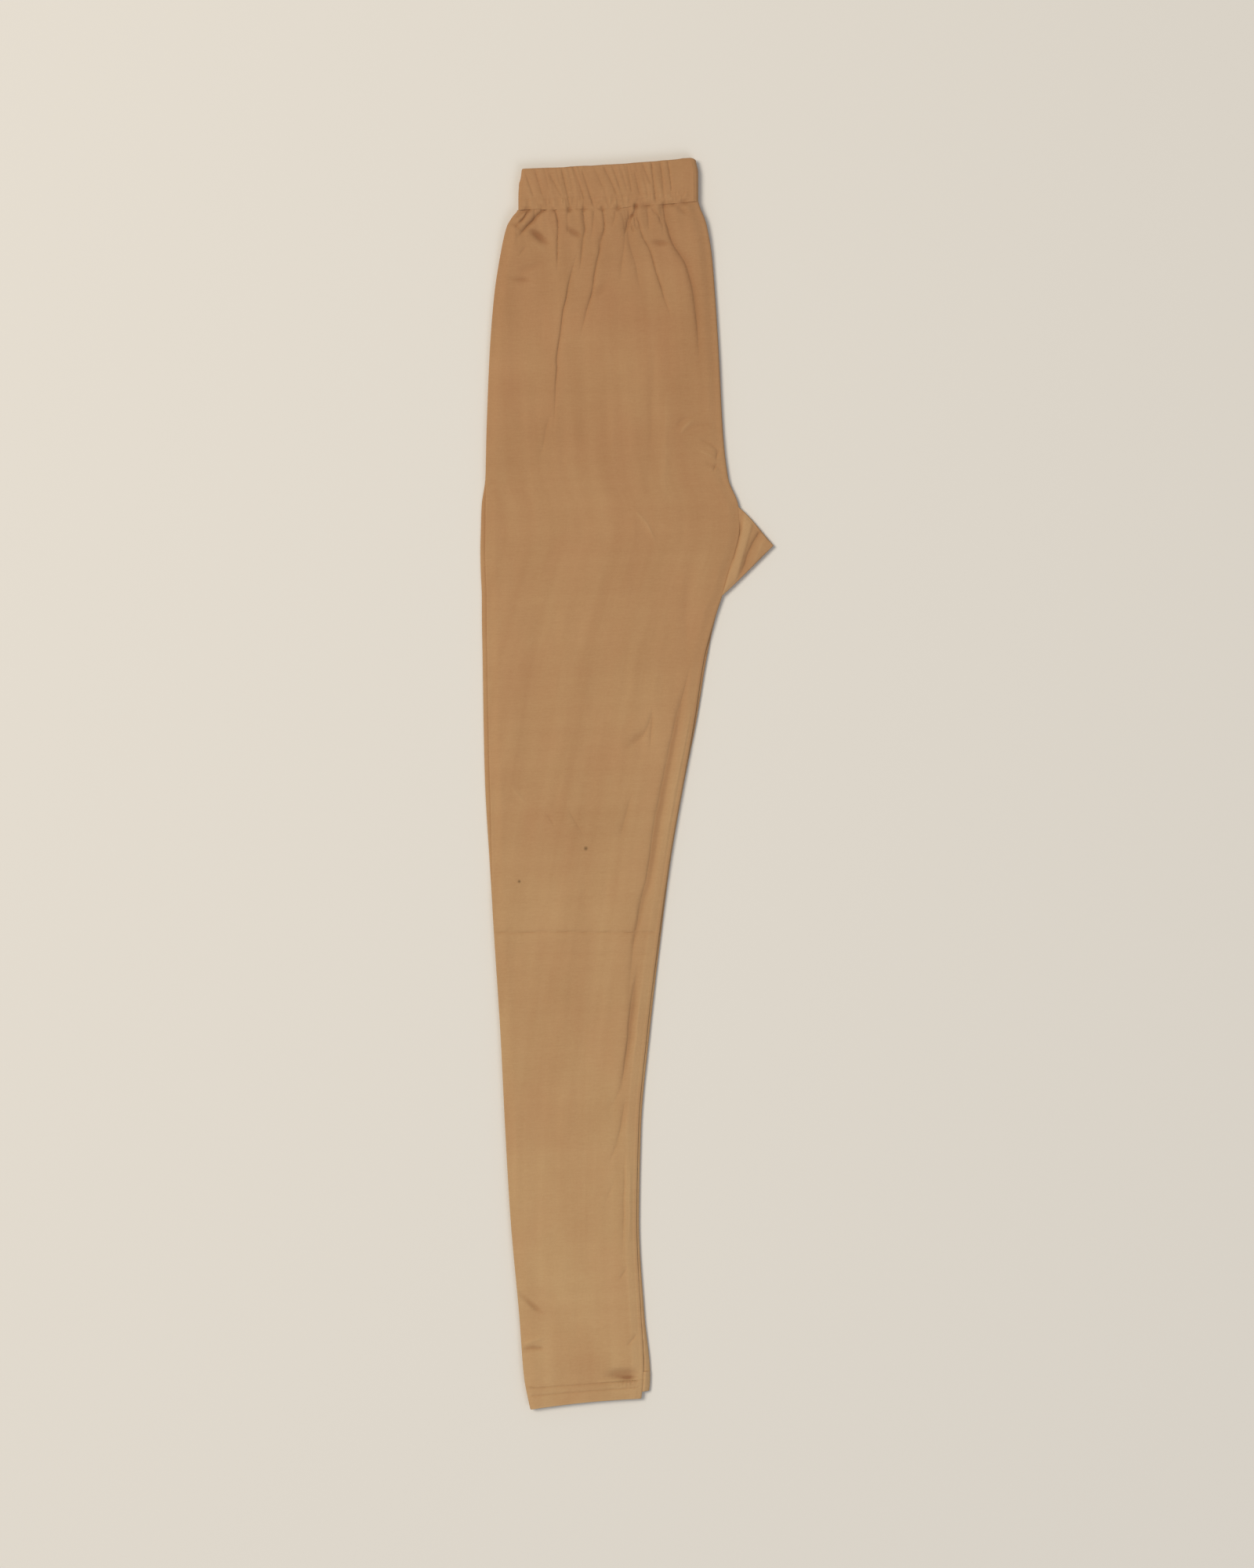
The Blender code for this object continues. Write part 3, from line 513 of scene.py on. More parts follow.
def column_places(ends, count):
    """Places across the top ply, a row for each section, which crowd towards the creases.

    They are even steps of a running total of crowding, which is 1 away from any crease, 4 on one, and
    falls off by a bell curve 2 mm wide.
    """
    x = ends.left + (ends.right - ends.left) * np.linspace(0.0, 1.0, 500)
    crowding = np.ones_like(x)
    for crease in CREASES:
        line = crease_line(crease.path)
        if crease.left > 3.0 or abs(line[-1][1] - line[0][1]) < abs(line[-1][0] - line[0][0]):
            continue
        down = down_at(line[0][0], ends)
        at = np.interp(down, line[:, 1], line[:, 0])
        present = ramp((down - line[0][1] + 16.0) / 16.0) * ramp((line[-1][1] + 16.0 - down) / 16.0)
        crowding += 3.0 * present * bell(x - at, 2.0)
    passed = np.cumsum(crowding, axis=1)
    passed = (passed - passed[:, :1]) / (passed[:, -1:] - passed[:, :1])
    even = np.linspace(0.0, 1.0, count)
    return np.array([np.interp(even, total, row) for total, row in zip(passed, x)])


def top_relief(x, down, from_band, left, right):
    """The top ply's height above its level, its loft, and how far it is folded in.

    The height is the loft, gathers and unevenness, which fade at the edges and towards the band, plus
    the creases, dents, pressed lines and pits, which reach nearer the edges, plus the inseam's
    allowance. It is folded in by as much as those four sink, more in pits and dents, less on the
    allowance, and that sets painted shade in the hollows and a painted highlight on the ridges.
    """
    loft = REST_PUFF + BAND_PUFF * bell(from_band, 60.0)
    loft = loft + 0.35 * soft_noise(x, down, 26.0, 150.0, 3) + 0.2 * soft_noise(x, down, 60.0, 70.0, 4)
    pillows = np.abs(soft_noise(x - 0.12 * down, down, 5.2, 48.0, 5)) - 0.4
    height = loft + 1.3 * pillows * bell(from_band, 26.0)
    height += 0.14 * soft_noise(x, down, 6.0, 45.0, 6) + 0.09 * soft_noise(x, down, 16.0, 4.0, 7)
    height += 0.05 * soft_noise(x, down, 3.0, 2.4, 8)
    wandering_x = x + CREASE_WANDER * soft_noise(x, down, 9.0, 10.0, 14)
    wandering_down = down + CREASE_WANDER * soft_noise(x, down, 8.0, 9.0, 15)
    creases = np.zeros_like(x)
    for crease in CREASES:
        creases += crease_height(wandering_x, wandering_down, crease)
    dents = sum(dimple_height(wandering_x, wandering_down, dimple) for dimple in DIMPLES)
    creases += dents
    for line in PRESS_LINES:
        place = down - line.down - 0.8 * soft_noise(x, 0.0 * x, 24.0, 9.0, 9)
        creases -= line.depth * hollow(np.abs(place), 0.8)
    pits = foot_pits(x, from_band, PIT_REACH)
    creases -= pits
    to_seam = right - x
    sewn = ramp((down - ALLOWANCE_START) / ALLOWANCE_FADE)
    seam_rise = SEAM_ALLOWANCE_RISE * ramp((SEAM_ALLOWANCE + 1.4 - to_seam) / 2.8) * sewn
    allowance = ramp((SEAM_ALLOWANCE + 1.6 - to_seam) / 3.0) * sewn
    crease_edge = ramp((x - left + 1.0) / CREASE_EDGE_FADE) * ramp((to_seam + 1.0) / CREASE_EDGE_FADE)
    drawn_in = 0.7 + 0.3 * ramp(from_band / 3.0)
    height = height * edge_fade(x, left, right, EDGE_FADE, EDGE_FADE) * drawn_in + creases * crease_edge
    painted_shade_highlight = np.clip((1.2 * pits - creases - 1.3 * dents) * crease_edge - 0.6 * allowance, -2.0, 8.0)
    return np.clip(height, DEEPEST, HIGHEST) + seam_rise * ramp(to_seam / 2.5), loft, painted_shade_highlight


def under_relief(x, from_band):
    """Shallow hollows in the flat underside: gathers that die away from the band, and soft creases."""
    gathers = 0.5 + 0.5 * soft_noise(x, from_band, 4.8, 70.0, 11)
    height = 0.55 * gathers * bell(from_band, 40.0)
    long_creases = np.clip(soft_noise(x, from_band, 18.0, 190.0, 12) - 0.35, 0.0, 1.0)
    return np.clip(height + 0.45 * long_creases, 0.0, 0.6)


def leg_middle(leg, from_band, wall, ends, counts, ply_share):
    """The middle line of the cloth at each section, as arrays of x and z, a row for each section.

    It is half an ellipse at the inseam, the straight outer ply, half a circle at the side fold, and the
    straight inner ply. The outer ply's own points lie at the given shares of its width. Where the lower
    leg's inseam shows beside the upper one, its bulky allowance makes a bead that leans on the upper one.
    """
    pitch = ply_pitch(from_band)
    outer_z, inner_z = leg.outer_ply * pitch + wall / 2.0, leg.inner_ply * pitch + wall / 2.0
    radius = np.abs(outer_z - inner_z) / 2.0
    roll = INSEAM_ROLL * (1.0 - 0.8 * seam_share(ends.right_down))
    beside = leg_edge("upper", "right", ends.right_down)
    shows = ramp((outline_at(ends.right_down, "right_step") - 0.8) / 1.6)
    if leg is LOWER:
        roll = roll + (ends.right - beside) * 0.6 * shows
    start, end = ends.right - wall / 2.0 - roll, ends.left + wall / 2.0 + radius
    turn = np.linspace(0.0, math.pi, counts.roll + 1)[:-1]
    roll_x = start + roll * np.sin(turn)
    roll_z = (outer_z + inner_z) / 2.0 - (outer_z - inner_z) / 2.0 * np.cos(turn)
    if leg is LOWER:
        upper_half = np.clip((roll_z - outer_z) / (inner_z - outer_z), 0.0, 1.0)
        strip = np.maximum(ends.right - beside, 0.2)
        bead = ramp((roll_x - beside + 0.4) / 0.9) * (1.0 - 0.45 * ramp((roll_x - beside - 0.8) / strip))
        roll_z = roll_z + STRIP_RISE * wall / CLOTH_WALL * shows * upper_half * bead
    ply_x = start + (end - start) * ply_share
    turn = np.linspace(0.0, math.pi, counts.fold + 1)[1:]
    fold_x = end - radius * np.sin(turn)
    fold_z = (outer_z + inner_z) / 2.0 + (outer_z - inner_z) / 2.0 * np.cos(turn)
    under_x = end + (start - end) * np.linspace(0.0, 1.0, counts.under + 1)[1:-1]
    x = np.hstack([roll_x, ply_x, fold_x, under_x])
    z = np.hstack([roll_z, outer_z + 0.0 * ply_x, fold_z, inner_z + 0.0 * under_x])
    return x, z, (end, start)


def wall_faces(x, z, wall, outward):
    """The cloth's outer and inner faces: its middle loop, moved half the wall along its normals."""
    run_x = np.roll(x, -1, axis=1) - np.roll(x, 1, axis=1)
    run_z = np.roll(z, -1, axis=1) - np.roll(z, 1, axis=1)
    length = np.hypot(run_x, run_z)
    normal_x, normal_z = -outward * run_z / length, outward * run_x / length
    half = wall / 2.0
    return Face(x + half * normal_x, z + half * normal_z), Face(x - half * normal_x, z - half * normal_z)


def on_slant(face, ends):
    """A face's points in space, each section on the slanting line between its ends."""
    return np.stack([face.x, OVERALL_LENGTH / 2.0 - down_at(face.x, ends), face.z], axis=-1)


def cloth_coordinates(x, z, from_band):
    """The cloth's own flat coordinates: the length along each section, and the distance down."""
    steps = np.hypot(np.diff(x, axis=1), np.diff(z, axis=1))
    passed = np.hstack([np.zeros((len(x), 1)), np.cumsum(steps, axis=1)])
    return np.stack([passed, from_band + 0.0 * passed], axis=-1)


# Meshes


def add_object(name, data):
    """Puts a mesh, lamp or camera into the scene."""
    made = bpy.data.objects.new(name, data)
    bpy.context.scene.collection.objects.link(made)
    return made


def grid_quads(start, rows, columns):
    """Corner indices of the quads of a grid that is closed round on itself across its rows."""
    i, j = np.meshgrid(np.arange(rows - 1), np.arange(columns), indexing="ij")
    right = (j + 1) % columns
    corners = [(i, j), (i + 1, j), (i + 1, right), (i, right)]
    return np.stack([start + a * columns + b for a, b in corners], axis=-1).reshape(-1, 4)


def rim_faces(outer_ring, inner_ring):
    """Triangles between the end rings of the two faces, whose inner ring has fewer points."""
    count, inner_count = len(outer_ring), len(inner_ring)
    share = count // inner_count
    edge = np.arange(count)
    nearest = (edge + share // 2) // share
    fans = [outer_ring[edge], outer_ring[(edge + 1) % count], inner_ring[nearest % inner_count]]
    step = np.arange(inner_count)
    between = (share * step + share - share // 2) % count
    joins = [outer_ring[between], inner_ring[(step + 1) % inner_count], inner_ring[step]]
    return np.vstack([np.stack(fans, axis=-1), np.stack(joins, axis=-1)])


def cloth_shell(name, outer, inner, coordinates, material, painted_shade_highlight):
    """A closed wall of cloth from its outer face and its inner face, which isn't seen and is coarser."""
    rows, columns = outer.shape[:2]
    kept = np.unique(np.append(np.arange(0, rows, INNER_ROW_STEP), rows - 1))
    inner, inner_coordinates = (array[kept, ::INNER_COLUMN_STEP] for array in (inner, coordinates))
    inner_rows, inner_columns = inner.shape[:2]
    start, inner_size = rows * columns, inner_rows * inner_columns
    outer_index = np.arange(start).reshape(rows, columns)
    inner_index = start + np.arange(inner_size).reshape(inner_rows, inner_columns)
    quads = [grid_quads(0, rows, columns), grid_quads(start, inner_rows, inner_columns)[:, ::-1]]
    first, last = (rim_faces(outer_index[row], inner_index[row]) for row in (0, -1))
    points = np.vstack([outer.reshape(-1, 3), inner.reshape(-1, 3)])
    flat = np.vstack([coordinates.reshape(-1, 2), inner_coordinates.reshape(-1, 2)])
    # Depths for the painted shade and painted highlight, none on the unseen inner face
    depths = np.concatenate([painted_shade_highlight.ravel(), np.zeros(inner_size)])
    triangles = np.vstack([first, last[:, ::-1]])
    return mesh_object(name, points, np.vstack(quads), triangles, flat, material, depths)


def mesh_object(name, points, quads, triangles, coordinates, material, painted_shade_highlight):
    """Puts arrays of points and faces into a mesh, in metres, with the cloth's coordinates as its map.

    How far each point is folded in, in millimetres, goes with it for the painted shade and painted
    highlight in the cloth's colour. The faces' volume, the sum of a . (b x c) over their first corners,
    turns them round if it is negative.
    """
    corners = np.concatenate([quads.ravel(), triangles.ravel()]).astype(np.int32)
    sizes = np.concatenate([np.full(len(quads), 4), np.full(len(triangles), 3)])
    starts = np.concatenate([[0], np.cumsum(sizes)[:-1]]).astype(np.int32)
    mesh = bpy.data.meshes.new(name)
    mesh.vertices.add(len(points))
    mesh.vertices.foreach_set("co", (points * MM).astype(np.float32).ravel())
    mesh.loops.add(len(corners))
    mesh.loops.foreach_set("vertex_index", corners)
    mesh.polygons.add(len(sizes))
    mesh.polygons.foreach_set("loop_start", starts)
    cloth_map = mesh.uv_layers.new(name="cloth")
    cloth_map.data.foreach_set("uv", (coordinates[corners] * MM).astype(np.float32).ravel())
    depths = mesh.attributes.new("painted_shade_highlight", "FLOAT", "POINT")
    depths.data.foreach_set("value", np.asarray(painted_shade_highlight, np.float32))
    mesh.update(calc_edges=True)
    mesh.validate()
    a, b, c = (points[corners[starts + k]] for k in range(3))
    if np.einsum("ij,ij->i", a, np.cross(b, c)).sum() < 0.0:
        mesh.flip_normals()
    mesh.shade_smooth()
    mesh.set_sharp_from_angle(angle=math.radians(SHARP_EDGE))
    mesh.materials.append(material)
    return add_object(name, mesh)


def make_leg(leg, name, material):
    """One leg's folded tube of cloth: its middle line made a wall, with creases on the ply that shows.

    The sections hang with the waist seam's wander, which dies away as exp(-from_band / fade).
    """
    from_band = row_places(leg.length)
    below, counts = np.maximum(from_band, 0.0), leg.counts
    ends = leg_ends(leg, *downs_at(from_band))
    share = np.linspace(0.0, 1.0, counts.ply + 1)
    if leg is UPPER:
        shown = ends._replace(left=ends.left + PLY_LEFT_INSET, right=ends.right - PLY_RIGHT_INSET)
        places = column_places(shown, counts.ply + 1)
        share = ((shown.right - places) / (shown.right - shown.left))[:, ::-1]
    x, z, ply_ends = leg_middle(leg, from_band, CLOTH_WALL, ends, counts, share)
    outer, inner = wall_faces(x, z, CLOTH_WALL, leg.outward)
    ply = slice(counts.roll, counts.roll + counts.ply + 1)
    ply_x = x[:, ply]
    edge = edge_fade(ply_x, *ply_ends, EDGE_FADE, EDGE_FADE)
    # How far the top ply is folded in, which sets painted shade in its hollows and a painted highlight on
    # its ridges
    painted_shade_highlight = np.zeros_like(x)
    if leg is UPPER:
        relief, loft, painted_shade_highlight[:, ply] = top_relief(ply_x, down_at(ply_x, ends), below, *ply_ends)
        outer.z[:, ply] += relief
        inner.z[:, ply] += 0.2 * loft * edge
    else:
        outer.z[:, ply] += under_relief(ply_x, below) * edge
    outer, inner = on_slant(outer, ends), on_slant(inner, ends)
    for face in (outer, inner):
        face[..., 1] -= foot_wander(face[..., 0]) * np.exp(-below / WANDER_FADE)
    if leg is UPPER:
        outer[:, ply, 1] -= foot_opening(ply_x) * bell(below, 1.8)
    return cloth_shell(name, outer, inner, cloth_coordinates(x, z, from_band), material, painted_shade_highlight)


def hem_ends(leg, place):
    """Both ends of a hem's sections, at these shares of its depth."""
    left_down, right_down = downs_at(leg.length + SEAM_GAP)
    return leg_ends(leg, left_down + place * HEM_DEPTH_LEFT, right_down + place * HEM_DEPTH_RIGHT)


def hem_relief(x, place, left, right):
    """The turned-up hem's height, and how far it is drawn in.

    Half a mm of loft and a little unevenness, less a hollow at each row of stitches, and less wrinkles
    near the inseam: a bell 7 mm wide, times ripples 3.4 mm apart and the size of a fine noise.
    """
    below = place * HEM_DEPTH_LEFT
    height = 0.5 + 0.12 * soft_noise(x, below, 7.0, 9.0, 21)
    for row in HEM_STITCH_PLACES:
        height = height - 0.5 * hollow((place - row) * HEM_DEPTH_LEFT, 0.7)
    pucker = bell(x - 2.0, 7.0) * ramp((0.5 - place) / 0.5)
    wrinkles = np.abs(soft_noise(x + 0.4 * below, below, 2.4, 5.0, 22))
    height = height - pucker * (0.25 + 0.25 * np.cos(2.0 * math.pi * x / 3.4) + 1.5 * wrinkles)
    edge = edge_fade(x, left, right, 3.0, 3.0)
    # The second value, how far the hem is drawn in, sets painted shade at its stitch rows and wrinkles
    return np.maximum(height, -0.5) * edge, (0.5 - height) * edge


def make_hem(leg, name, material):
    """The turned-up end of a leg, carried on from the leg's own section to a rounded edge.

    The edge of the upper one bows up by the sine of its width, to the power 0.8.
    """
    edge_rows = [share for share, _ in HEM_THINNING[2:]]
    place = np.linspace(-SEAM_MEET / HEM_DEPTH_LEFT, HEM_THINNING[1][0], 34)
    place = np.concatenate([place, edge_rows])[:, None]
    ends, counts = hem_ends(leg, place), HEM_COUNTS
    start = leg.length + SEAM_GAP + 0.0 * place
    share = np.linspace(0.0, 1.0, counts.ply + 1)
    x, z, ply_ends = leg_middle(leg, start, HEM_WALL, ends, counts, share)
    outer, inner = wall_faces(x, z, HEM_WALL * np.interp(place, *zip(*HEM_THINNING)), leg.outward)
    ply = slice(counts.roll, counts.roll + counts.ply + 1)
    relief, drawn_in = hem_relief(x[:, ply], place, *ply_ends)
    outer.z[:, ply] += relief if leg is UPPER else -0.6 * np.minimum(relief, 0.0)
    # Painted shade where the hem is drawn in, and a painted highlight along its rolled edge
    painted_shade_highlight = np.zeros_like(x)
    painted_shade_highlight[:, ply] = np.clip(3.0 * drawn_in, -0.6, 4.0) - 1.2 * ramp((place - 0.9) / 0.08)
    outer, inner = on_slant(outer, ends), on_slant(inner, ends)
    if leg is UPPER:
        width = np.clip(across(x, ends), 0.0, 1.0)
        for face in (outer, inner):
            face[..., 1] += HEM_EDGE_RISE * place**2 * np.sin(math.pi * width) ** 0.8
    coordinates = cloth_coordinates(x, z, leg.length + place * HEM_DEPTH_LEFT)
    return cloth_shell(name, outer, inner, coordinates, material, painted_shade_highlight)


def casing_height(x, ends):
    """The casing's height at x, which changes evenly from its left end to its right end."""
    left_height = BAND_FOOT_LEFT - BAND_TOP_LEFT
    return left_height + across(x, ends) * (BAND_FOOT_RIGHT - left_height)


def band_relief(x, depth, ends):
    """The casing's height above its level: pillows, less its leaning gathers, stitched row and pits."""
    gathered = ramp((BAND_JOIN_X - x) / 4.0)
    pillows = np.abs(soft_noise(x - 0.25 * depth, depth, 4.4, 30.0, 31)) - 0.4
    height = 0.6 + 0.5 * pillows * gathered
    for crease in BAND_CREASES:
        run = (crease.foot_x - crease.top_x) / (crease.foot_depth - crease.top_depth)
        aside = x - crease.top_x - run * (depth - crease.top_depth)
        fade_in = ramp((depth - crease.top_depth + 4.0) / 5.0)
        fade = fade_in * ramp((crease.foot_depth + 3.0 - depth) / 5.0)
        height = height - crease.depth * fade * hollow(np.abs(aside), crease.width)
    foot = casing_height(x, ends)
    row = BAND_STITCH_SHARE * foot
    height = height - 0.4 * hollow(np.abs(depth - row), 0.8)
    puckers = np.abs(soft_noise(x, depth, 2.4, 7.0, 32)) - 0.35
    height = height + 0.8 * puckers * bell(depth - row - 3.5, 4.0)
    height = height - 0.85 * foot_pits(x, foot - depth, BAND_PIT_REACH)
    return height * edge_fade(x, ends.left, ends.right, 6.0, 14.0)


def band_middle(ends):
    """The middle of the casing: a closed loop folded in half, which starts on the top ply's right."""
    level = [ply * BAND_PITCH + BAND_WALL / 2.0 for ply in range(4)]
    half_fold, half_wall = BAND_PITCH / 2.0, BAND_WALL / 2.0
    fold_left = ends.left + half_wall + half_fold
    outer_right, inner_right = ends.right - half_wall - BAND_OUTER_TURN, ends.right - BAND_INNER_INSET
    xs, zs = [], []

    def run(start, end, steps, height):
        """A straight ply in even steps, without its last point."""
        xs.append(start + (end - start) * np.linspace(0.0, 1.0, steps, endpoint=False))
        zs.append(height + 0.0 * xs[-1])

    def turn(centre, from_level, to_level, reach, steps, fullness=1.0):
        """A fold: x goes out by reach sin(angle)^fullness, and z goes over by the cosine."""
        angle = np.linspace(0.0, math.pi, steps, endpoint=False)
        middle, half = (from_level + to_level) / 2.0, (from_level - to_level) / 2.0
        xs.append(centre + reach * np.sin(angle) ** fullness)
        zs.append(middle + half * np.cos(angle) + 0.0 * centre)

    run(outer_right, fold_left, BAND_TOP_STEPS, level[3])
    turn(fold_left, level[3], level[2], -half_fold, 12)
    run(fold_left, inner_right, 24, level[2])
    turn(inner_right, level[2], level[1], half_fold, 12)
    run(inner_right, fold_left, 24, level[1])
    turn(fold_left, level[1], level[0], -half_fold, 12)
    run(fold_left, outer_right, 100, level[0])
    turn(outer_right, level[0], level[3], BAND_OUTER_TURN, 20, 0.6)
    return np.hstack(xs), np.hstack(zs)


def band_ends(share):
    """The casing's ends at these shares of its height, which spread towards the foot.

    The left one has a small nick a third of the way down. The right one's top corner is rounded, by a
    quarter of a circle.
    """
    left = BAND_LEFT - BAND_SPREAD_LEFT * ramp(share * 1.6) - BAND_NICK * bell(share - 0.36, 0.07)
    right = BAND_RIGHT + BAND_SPREAD_RIGHT * ramp(share * 3.0)
    above = np.clip(1.0 - share * BAND_FOOT_RIGHT / BAND_CORNER, 0.0, 1.0)
    corner = BAND_CORNER * (1.0 - np.sqrt(1.0 - above**2))
    left_down = BAND_TOP_LEFT + share * (BAND_FOOT_LEFT - BAND_TOP_LEFT)
    return Ends(left, right - corner, left_down, share * BAND_FOOT_RIGHT)


def make_waistband(name, material):
    """The elastic's casing, gathered on its top ply and underneath, with a rounded top edge.

    Its top sags by the sine of its width, and its foot follows the waist seam's wander.
    """
    top_rows = [share for share, _ in BAND_THINNING[:4]]
    foot = 1.0 + SEAM_MEET / BAND_FOOT_RIGHT
    share = np.concatenate([top_rows, np.linspace(0.065, 0.985, 48), [foot]])[:, None]
    thinning = np.interp(share, *zip(*BAND_THINNING))
    ends = band_ends(share)
    x, z = band_middle(ends)
    outer, inner = wall_faces(x, z, BAND_WALL * thinning, -1.0)
    height = casing_height(x, ends)
    depth = share * height
    relief = band_relief(x, depth, ends) * thinning
    on_top = np.arange(x.shape[1]) <= BAND_TOP_STEPS
    outer.z[:] += np.where(on_top, relief, 0.0)
    dents = 0.35 * (0.5 + 0.5 * soft_noise(x + 0.25 * depth, depth, 3.8, 26.0, 33))
    underside = (z < BAND_WALL) & ~on_top
    outer.z[:] += np.where(underside, dents * edge_fade(x, ends.left, ends.right, 6.0, 9.0), 0.0)
    # Painted shade in the casing's gathers and under the waist seam's pits, and a painted highlight on
    # its pillows
    tone = np.clip(0.55 - relief, -0.3, 3.0) + 1.2 * foot_pits(x, height - depth, BAND_PIT_SHADE_REACH)
    painted_shade_highlight = np.where(on_top, tone, 0.0) * edge_fade(x, ends.left, ends.right, 6.0, 14.0)
    outer, inner = on_slant(outer, ends), on_slant(inner, ends)
    for face in (outer, inner):
        face_x = face[..., 0]
        sag = BAND_TOP_SAG * np.sin(math.pi * np.clip(across(face_x, ends), 0.0, 1.0))
        sag = sag - 0.25 * soft_noise(face_x, 0.0 * face_x, 6.0, 9.0, 35)
        face[..., 1] -= sag * (1.0 - share)
        face[..., 1] -= foot_wander(face_x) * ramp((share - 0.3) / 0.7)
    coordinates = cloth_coordinates(x, z, share * BAND_FOOT_RIGHT)
    return cloth_shell(name, outer, inner, coordinates, material, painted_shade_highlight)


def gusset_seam(down):
    """Where the gusset's cloth ends, under the leg's rolled edge."""
    return leg_edge("upper", "right", np.clip(down, *GUSSET_SEAM_DOWN)) + SEAM_GAP - GUSSET_LAP


def gusset_grid():
    """The gusset's triangle as a grid: its corners, points and faces, and the loop of points at its edge.

    A point is a + u (b - a) + v (c - a), from the seam's top a, the tip b and the seam's foot c, where u
    and v are even steps. The seam side is bent to the leg's edge by (1 - u)^2 of how far that is.
    """
    top, foot = GUSSET_SEAM_DOWN
    a, b, c = np.array([gusset_seam(top), top]), np.array(GUSSET_TIP), np.array([gusset_seam(foot), foot])
    n = GUSSET_DIVISIONS
    i, j = np.meshgrid(np.arange(n + 1), np.arange(n + 1), indexing="ij")
    inside = i + j <= n
    index = np.full((n + 1, n + 1), -1)
    index[inside] = np.arange(inside.sum())
    to_tip, to_foot = i[inside] / n, j[inside] / n
    grid = a + to_tip[:, None] * (b - a) + to_foot[:, None] * (c - a)
    straight = a[0] + (c[0] - a[0]) * (grid[:, 1] - top) / (foot - top)
    grid[:, 0] += (gusset_seam(grid[:, 1]) - straight) * (1.0 - to_tip) ** 2
    p, q = np.nonzero(i + j < n)
    faces = [np.stack([index[p, q], index[p + 1, q], index[p, q + 1]], axis=-1)]
    p, q = np.nonzero(i + j < n - 1)
    faces.append(np.stack([index[p + 1, q], index[p + 1, q + 1], index[p, q + 1]], axis=-1))
    k = np.arange(n)
    loop = np.concatenate([index[k, 0], index[n - k, k], index[0, n - k]])
    return (a, b, c), grid, np.vstack(faces), loop


def line_distance(points, start, end):
    """How far each point is from the line through two points."""
    run = (end - start) / np.linalg.norm(end - start)
    return np.abs((points[:, 0] - start[0]) * run[1] - (points[:, 1] - start[1]) * run[0])


def make_gusset(name, material):
    """The gusset's quarter on top, as one folded stack with its layers drawn at the edges.

    The triangular grid makes the top and the underside, and rings of its edge points lie between, drawn
    in by the table. A little loft, the welt's bell and the creases lift the top, less at the edges.
    """
    (a, b, c), grid, faces, loop = gusset_grid()
    size = len(loop)
    number = np.arange(size)
    fold_side = number <= GUSSET_DIVISIONS
    seam_side = (number >= 2 * GUSSET_DIVISIONS) | (number == 0)
    inward = grid.mean(axis=0) - grid[loop]
    inward /= np.linalg.norm(inward, axis=1)[:, None]
    height = 3.0 * BODY_PITCH + CLOTH_WALL
    shares, folds, seams = np.array(GUSSET_EDGE).T[..., None]
    inset = np.where(fold_side, folds, seams) * ~seam_side
    flat = grid[loop] + inward * inset[..., None]
    rings = np.concatenate([flat, (shares * height)[..., None] + 0.0 * flat[..., :1]], axis=-1)

    free_edge = np.minimum(line_distance(grid, a, b), line_distance(grid, b, c))
    lift = 0.35 * ramp(free_edge / 6.0) + 0.12 * soft_noise(grid[:, 0], grid[:, 1], 7.0, 14.0, 41)
    creases = bell(line_distance(grid, *np.array(GUSSET_WELT)), 4.5, 6)
    for crease in GUSSET_CREASES:
        creases = creases + crease_height(grid[:, 0], grid[:, 1], crease)
    near_seam = 1.0 - ramp((grid[:, 0] - gusset_seam(grid[:, 1])) / 2.5)
    level = height + (lift + creases - 0.1 * near_seam) * ramp(free_edge / 2.5)

    keep = np.setdiff1d(np.arange(len(grid)), loop)
    top_points = np.column_stack([grid[keep], level[keep]])
    under_points = np.column_stack([grid[keep], 0.0 * level[keep]])
    points = np.vstack([rings.reshape(-1, 3), top_points, under_points])
    over, under = np.empty(len(grid), int), np.empty(len(grid), int)
    for layer, ring, place in ((over, len(rings) - 1, 0), (under, 0, 1)):
        layer[loop] = ring * size + number
        layer[keep] = len(rings) * size + place * len(keep) + np.arange(len(keep))
    caps = np.vstack([over[faces], under[faces][:, ::-1]])
    walls = grid_quads(0, len(rings), size)[:, ::-1]
    # Painted shade in the gusset's creases, and a painted highlight on its welt and ridges
    painted_shade_highlight = np.zeros(len(points))
    painted_shade_highlight[over] = np.clip(-1.2 * creases, -2.0, 4.0)
    coordinates = points[:, :2].copy()
    points[:, 1] = OVERALL_LENGTH / 2.0 - points[:, 1]
    return mesh_object(name, points, walls, caps, coordinates, material, painted_shade_highlight)


# Sewing


def stitch_row(points, sink):
    """Stitches along a line of points: where each one starts and ends, sunk this far in the cloth."""
    steps = np.linalg.norm(np.diff(points, axis=0), axis=1)
    passed = np.concatenate([[0.0], np.cumsum(steps)])
    begin = np.arange(1.0, passed[-1] - STITCH_LENGTH, STITCH_PITCH)
    ends = []
    for places in (begin, begin + STITCH_LENGTH):
        at = np.stack([np.interp(places, passed, axis) for axis in points.T], axis=-1)
        ends.append(at - [0.0, 0.0, sink])
    return ends


